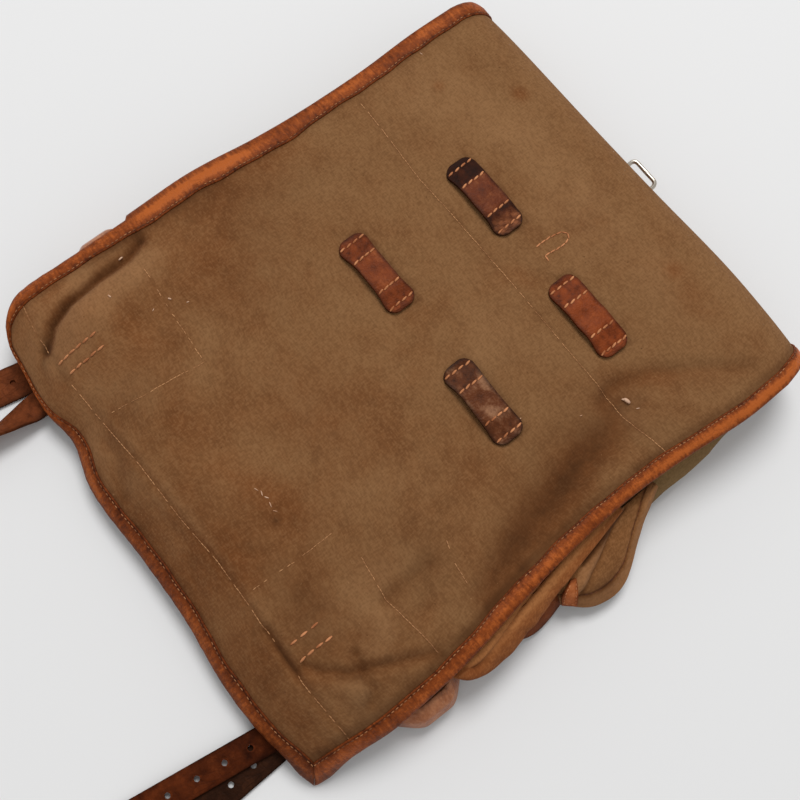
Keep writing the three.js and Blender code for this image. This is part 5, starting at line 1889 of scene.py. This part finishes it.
@dataclass
class Straps(Piece):
    """The closure straps from under the flap and the shoulder straps under the back."""

    flap: FlapCloth
    closure_wide: float = 19.5
    under_flap: float = 50.0
    below_flap: float = 6.0
    start_y: float = -170.0
    hole: float = 4.0
    punch: float = 12.0
    tip: float = 14.0

    def closure(self, node: str, x: float, lean: float, holes: Sequence[float], tail: Sequence[TailRow],
                finish: LeatherFinish) -> StrapPlan:
        """Plans a closure strap: along the flap's inside to its bottom edge, then free.

        Args:
            node: The strap's node.
            x: Its middle at the start.
            lean: How much X it gains for each millimetre of Y.
            holes: Where its holes are.
            tail: Its free tail.
            finish: Its leather.

        Returns:
            The plan.
        """
        edge_y = float(self.flap.bottom(np.asarray(x + lean * (self.flap.bottom_y - self.start_y))))
        y = np.linspace(edge_y, edge_y + self.under_flap, 9)
        points, normals = self.flap.on_front(x + lean * (y - self.start_y), y)
        points = points - normals * self.below_flap
        roll = np.degrees(np.arctan2(-normals[:, 0], normals[:, 2]))
        free = zip(*sorted(tail))
        held = (points[:, 1], points[:, 2], roll)
        ys, zs, rolls = (np.array([*first, *then]) for first, then in zip(free, held))
        order = np.argsort(ys)
        ys = ys[order]
        return StrapPlan(node, ys, x + lean * (ys - self.start_y), zs[order], rolls[order],
                         np.full(ys.shape, self.closure_wide), holes, 2.2, finish)

    @staticmethod
    def shoulder(node: str, holes: Sequence[float], run: Sequence[RunRow],
                 finish: LeatherFinish) -> StrapPlan:
        """Plans a shoulder strap flat on the ground under the back."""
        y, x, wide = zip(*run)
        return StrapPlan(node, y, x, [1.25] * len(run), [0.0] * len(run), wide, holes, 2.5, finish)

    def lay(self, plan: StrapPlan, side: Array, y: Array) -> tuple[Array, Array]:
        """Points and normals of a strap's middle surface.

        Args:
            plan: The strap.
            side: Shares of its half width, from -1 to 1.
            y: Levels along it.

        Returns:
            The points and normals.
        """
        curves = {name: Column(plan.y, getattr(plan, name)) for name in ("x", "z", "roll", "wide")}
        ahead = unit(stack(
            curves["x"](y + 0.5) - curves["x"](y - 0.5), 1.0, curves["z"](y + 0.5) - curves["z"](y - 0.5)))
        level = unit(stack(ahead[..., 1], -ahead[..., 0], 0.0))
        up = np.cross(level, ahead)
        angle = np.radians(curves["roll"](y))[..., None]
        across = level * np.cos(angle) + up * np.sin(angle)
        normal = up * np.cos(angle) - level * np.sin(angle)
        tip = np.clip((y - plan.y[0]) / self.tip, 0.0, 1.0) ** 0.6
        half = 0.5 * curves["wide"](y) * lerp(0.35, 1.0, tip)
        crown = 0.25 * (1 - side * side)
        points = stack(curves["x"](y), y, curves["z"](y)) + across * (side * half)[..., None]
        return points + normal * crown[..., None], normal

    def cut_holes(self, made: bpy.types.Object, plan: StrapPlan) -> None:
        """Cuts a strap's holes, down to the plan's hole floor."""
        work = bmesh.new()
        for hole_y in plan.holes:
            point, normal = self.lay(plan, np.asarray(0.0), np.asarray(hole_y, float))
            turn = Vector((0, 0, 1)).rotation_difference(Vector(normal)).to_matrix().to_4x4()
            middle = Vector(self.frame.metres(point + normal * (plan.hole_floor + 0.5 * self.punch)))
            radius = 0.5 * self.hole * MM
            bmesh.ops.create_cone(
                work, cap_ends=True, segments=20, radius1=radius, radius2=radius, depth=self.punch * MM,
                matrix=Matrix.Translation(middle) @ turn)
        cutter = self.from_work(plan.node + "_punch", work)
        punched = made.modifiers.new("holes", "BOOLEAN")
        punched.operation = "DIFFERENCE"
        punched.solver = "EXACT"
        punched.object = cutter
        view = bpy.context.evaluated_depsgraph_get()
        done = bpy.data.meshes.new_from_object(made.evaluated_get(view))
        done.set_sharp_from_angle(angle=math.radians(20))
        made.modifiers.clear()
        made.data = done
        bpy.data.objects.remove(cutter)

    def build_one(self, plan: StrapPlan) -> None:
        """Makes one strap."""
        side, y = np.meshgrid(np.linspace(-1, 1, 13), stations(plan.y[0], plan.y[-1], 3.0))
        points, _ = self.lay(plan, side, y)
        half = 0.5 * Column(plan.y, plan.wide)(y)
        rim = (1 - np.abs(side)) * half
        holes = np.full(y.shape, 1e3)
        for hole_y in plan.holes:
            holes = np.minimum(holes, np.hypot(side * half, y - hole_y))
        # Dark edges, stains round the holes, and painted shade towards the flap by the plan's grime.
        paint = {
            Paint.EDGE: 0.75 * hump(rim, 1.5) + 0.3 * hump(rim - 2.6, 0.6),
            Paint.STAIN_AND_SHADE: 0.5 * hump(holes, 4.5) + 0.25 * np.maximum(ripple(side * half, y, 30.0, 51), 0.0)
            + plan.grime * smoothstep(y, -285.0, -240.0),
            Paint.WEAR_AND_LIGHT: 0.35 * np.maximum(ripple(side * half, y, 42.0, 52), 0.0),
        }
        flat = pair(side * half, y - plan.y[0])
        made = self.mesh(plan.node + "_leather", Skin(points, flat, paint))
        self.thicken(made, plan.leather, 0.5)
        if plan.holes:
            self.cut_holes(made, plan)
        self.settle(made, "strap_leather", plan.finish, plan.node)

    def build(self) -> None:
        """Makes all four straps."""
        self.build_one(self.closure("closure_strap_left", -131.0, 0.03, (), LEFT_TAIL, STRAP_LIGHT))
        holes = (-237, -255, -274, -294, -313)
        right = self.closure("closure_strap_right", 145.8, 0.172, holes, RIGHT_TAIL, STRAP_LEATHER)
        # Painted shade where the right closure strap runs under the flap.
        self.build_one(replace(right, grime=0.5))
        holes = (-219, -238, -257, -276)
        left = self.shoulder("shoulder_strap_left", holes, LEFT_SHOULDER_RUN, STRAP_LIGHT)
        self.build_one(replace(left, hole_floor=-0.7))
        holes = (-242, -260, -278, -296)
        self.build_one(self.shoulder("shoulder_strap_right", holes, RIGHT_SHOULDER_RUN, STRAP_DARK))


@dataclass
class TopRing(Piece):
    """The wire ring at the top edge and the leather tab that holds it."""

    flap: FlapCloth
    x: float = -8.0
    wire: float = 3.4
    wide: float = 24.6
    deep: float = 20.0
    corner: float = 3.6
    tilt: float = 23.0
    tab_wide: float = 16.0
    tab_leather: float = 1.6
    eye_turn: float = -36.0
    end_turn: float = -62.0
    gap: float = 0.4
    lift: float = 0.2
    wire_steps: int = 96

    def on_fold(self, turn: Array, offset: float) -> tuple[Array, Array]:
        """Points off the flap's fold over the ring's place, and the normals there."""
        low, high = self.flap.turn_left(turn), self.flap.turn_right(turn)
        points, normals = self.flap.on_turn(self.flap.width * (self.x - low) / (high - low), turn)
        normals = unit(normals * np.array([0.0, 1.0, 1.0]))
        return points + normals * offset, normals

    def build(self) -> None:
        """Makes the tab and the ring in its eye."""
        base = 0.5 * self.flap.thick + self.gap + self.lift
        hole = 0.5 * self.wire + self.gap
        eye, eye_normal = self.on_fold(np.asarray(self.eye_turn), base + hole + self.tab_leather)
        turns = np.linspace(self.end_turn, self.eye_turn - 3, 14)
        tail, tail_normals = self.on_fold(turns, base + 0.5 * self.tab_leather)
        ahead = np.cross(eye_normal, [1.0, 0.0, 0.0])
        ahead = ahead * np.sign(np.dot(ahead, tail[-1] - tail[0]))
        angle = np.radians(np.linspace(8, 335, 30))[:, None]
        bend = eye + (hole + 0.5 * self.tab_leather) * (ahead * np.sin(angle) - eye_normal * np.cos(angle))
        path = np.concatenate((tail, bend))
        side = np.linspace(-0.5, 0.5, 13)
        points = np.repeat(path[:, None, :], len(side), axis=1)
        points[..., 0] = self.x + side[None, :] * self.tab_wide
        run = run_along(path)
        flat = pair(side * self.tab_wide, run[:, None])
        rim = np.broadcast_to((0.5 - np.abs(side)) * self.tab_wide, points.shape[:2])
        made = self.mesh("ring_tab_leather", Skin(points, flat, {Paint.EDGE: 0.7 * hump(rim, 1.2)}))
        self.thicken(made, self.tab_leather, 0.3)
        self.settle(made, "strap_leather", LOOP_ORANGE, "ring_tab")
        self.build_wire(eye)
        thread = Thread(self.frame, "tab_stitches")
        for edge in (1, -2):
            line = points[1:12, edge] + tail_normals[1:12] * (0.5 * self.tab_leather + 0.1)
            thread.row(line, tail_normals[1:12], TAB_STITCHING)
        thread.finish("strap_leather", TAN_THREAD)

    def build_wire(self, eye: Array) -> None:
        """Bends the ring's wire to a rectangle with round corners, its inner bar in the eye."""
        shape = CanvasBody(
            self.frame, half_x=0.5 * self.wide, half_y=0.5 * self.deep, corner=self.corner,
            around=self.wire_steps)
        outline, outward, run = shape.outline()
        angle = np.linspace(0, 2 * math.pi, 17)
        radius = 0.5 * self.wire
        ring = outline[:, None, :] + outward[:, None, :] * (radius * np.cos(angle))[None, :, None]
        height = np.broadcast_to(radius * np.sin(angle), ring.shape[:2])
        tilt = math.radians(self.tilt)
        forth = ring[..., 1] + 0.5 * self.deep
        y = eye[1] + forth * math.cos(tilt) - height * math.sin(tilt)
        z = eye[2] + forth * math.sin(tilt) + height * math.cos(tilt)
        points = stack(self.x + ring[..., 0], y, z)
        flat = pair(angle * radius, run[:, None])
        made = self.mesh("wire_ring", Skin(points, flat), weld=True)
        self.settle(made, "ring_steel", RING_STEEL, "top_ring")


@dataclass
class Studio:
    """Pale paper, soft light and the camera."""

    frame: PackFrame
    azimuth: float = 35.17
    elevation: float = 73.71
    roll: float = 16.44
    distance: float = 741.82
    target: tuple[float, float, float] = (18.53, -23.28, 30.0)
    lens: float = 49.5
    sky: float = 0.5
    key_power: float = 122.0
    key_size: float = 2.25
    key_distance: float = 4.5

    def axes(self) -> tuple[Vector, Vector, Vector]:
        """The camera's right, up and back."""
        turn, rise, roll = (math.radians(part) for part in (self.azimuth, self.elevation, self.roll))
        back = Vector((math.sin(turn) * math.cos(rise), -math.cos(turn) * math.cos(rise), math.sin(rise)))
        right = Vector((math.cos(turn), math.sin(turn), 0.0))
        up = back.cross(right)
        cosine, sine = math.cos(roll), math.sin(roll)
        return right * cosine + up * sine, up * cosine - right * sine, back

    def camera(self) -> None:
        """Sets the camera at the photograph's place."""
        right, up, back = self.axes()
        middle = Vector(self.frame.metres(np.array(self.target)))
        data = bpy.data.cameras.new("camera")
        data.lens = self.lens
        data.sensor_fit = "HORIZONTAL"
        data.sensor_width = 36.0
        data.clip_start = 0.01
        seen = bpy.data.objects.new("camera", data)
        turn = Matrix((right, up, back)).transposed().to_4x4()
        seen.matrix_world = Matrix.Translation(middle + back * self.distance * MM) @ turn
        bpy.context.scene.collection.objects.link(seen)
        bpy.context.scene.camera = seen

    def floor(self) -> None:
        """Lays the pale paper under the pack."""
        work = bmesh.new()
        bmesh.ops.create_grid(work, x_segments=8, y_segments=8, size=6.0)
        bmesh.ops.translate(work, verts=work.verts[:], vec=(0.0, 0.0, -0.0004))
        made = Piece.from_work("studio_floor", work)
        made.data.materials.append(STUDIO_PAPER.material())

    def light(self) -> None:
        """Hangs a soft key light over the pack's top and lights the sky evenly."""
        world = bpy.data.worlds.new("studio_sky")
        world.use_nodes = True
        world.node_tree.nodes["Background"].inputs["Color"].default_value = (1.0, 1.0, 1.0, 1.0)
        world.node_tree.nodes["Background"].inputs["Strength"].default_value = self.sky
        bpy.context.scene.world = world
        right, up, back = self.axes()
        middle = Vector(self.frame.metres(np.array(self.target)))
        data = bpy.data.lights.new("key_light", "AREA")
        data.shape = "DISK"
        data.size = self.key_size
        data.energy = self.key_power
        lamp = bpy.data.objects.new("key_light", data)
        away = (up * 0.78 + right * 0.12 + back * 0.8).normalized()
        turn = away.to_track_quat("Z", "Y").to_matrix().to_4x4()
        lamp.matrix_world = Matrix.Translation(middle + away * self.key_distance) @ turn
        bpy.context.scene.collection.objects.link(lamp)

    def build(self) -> None:
        """Makes the studio."""
        self.camera()
        self.floor()
        self.light()
        bpy.context.scene.view_settings.view_transform = "Standard"


def main() -> None:
    """Builds the pack around its frame, piece by piece."""
    logging.basicConfig(level=logging.INFO, format="%(name)s %(message)s")
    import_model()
    first = FRONT_LOOPS[0]
    frame = PackFrame.from_loop(first.node, first.x, first.y)
    Studio(frame).build()
    flap = FlapCloth(frame)
    flap.build()
    EdgeBinding(frame, flap).build()
    FrontLoops(frame, flap).build()
    body = CanvasBody(frame)
    body.build()
    SideLoops(frame, body).build()
    SideCloth(frame, body).build()
    Straps(frame, flap).build()
    TopRing(frame, flap).build()


if __name__ == "__main__":
    main()
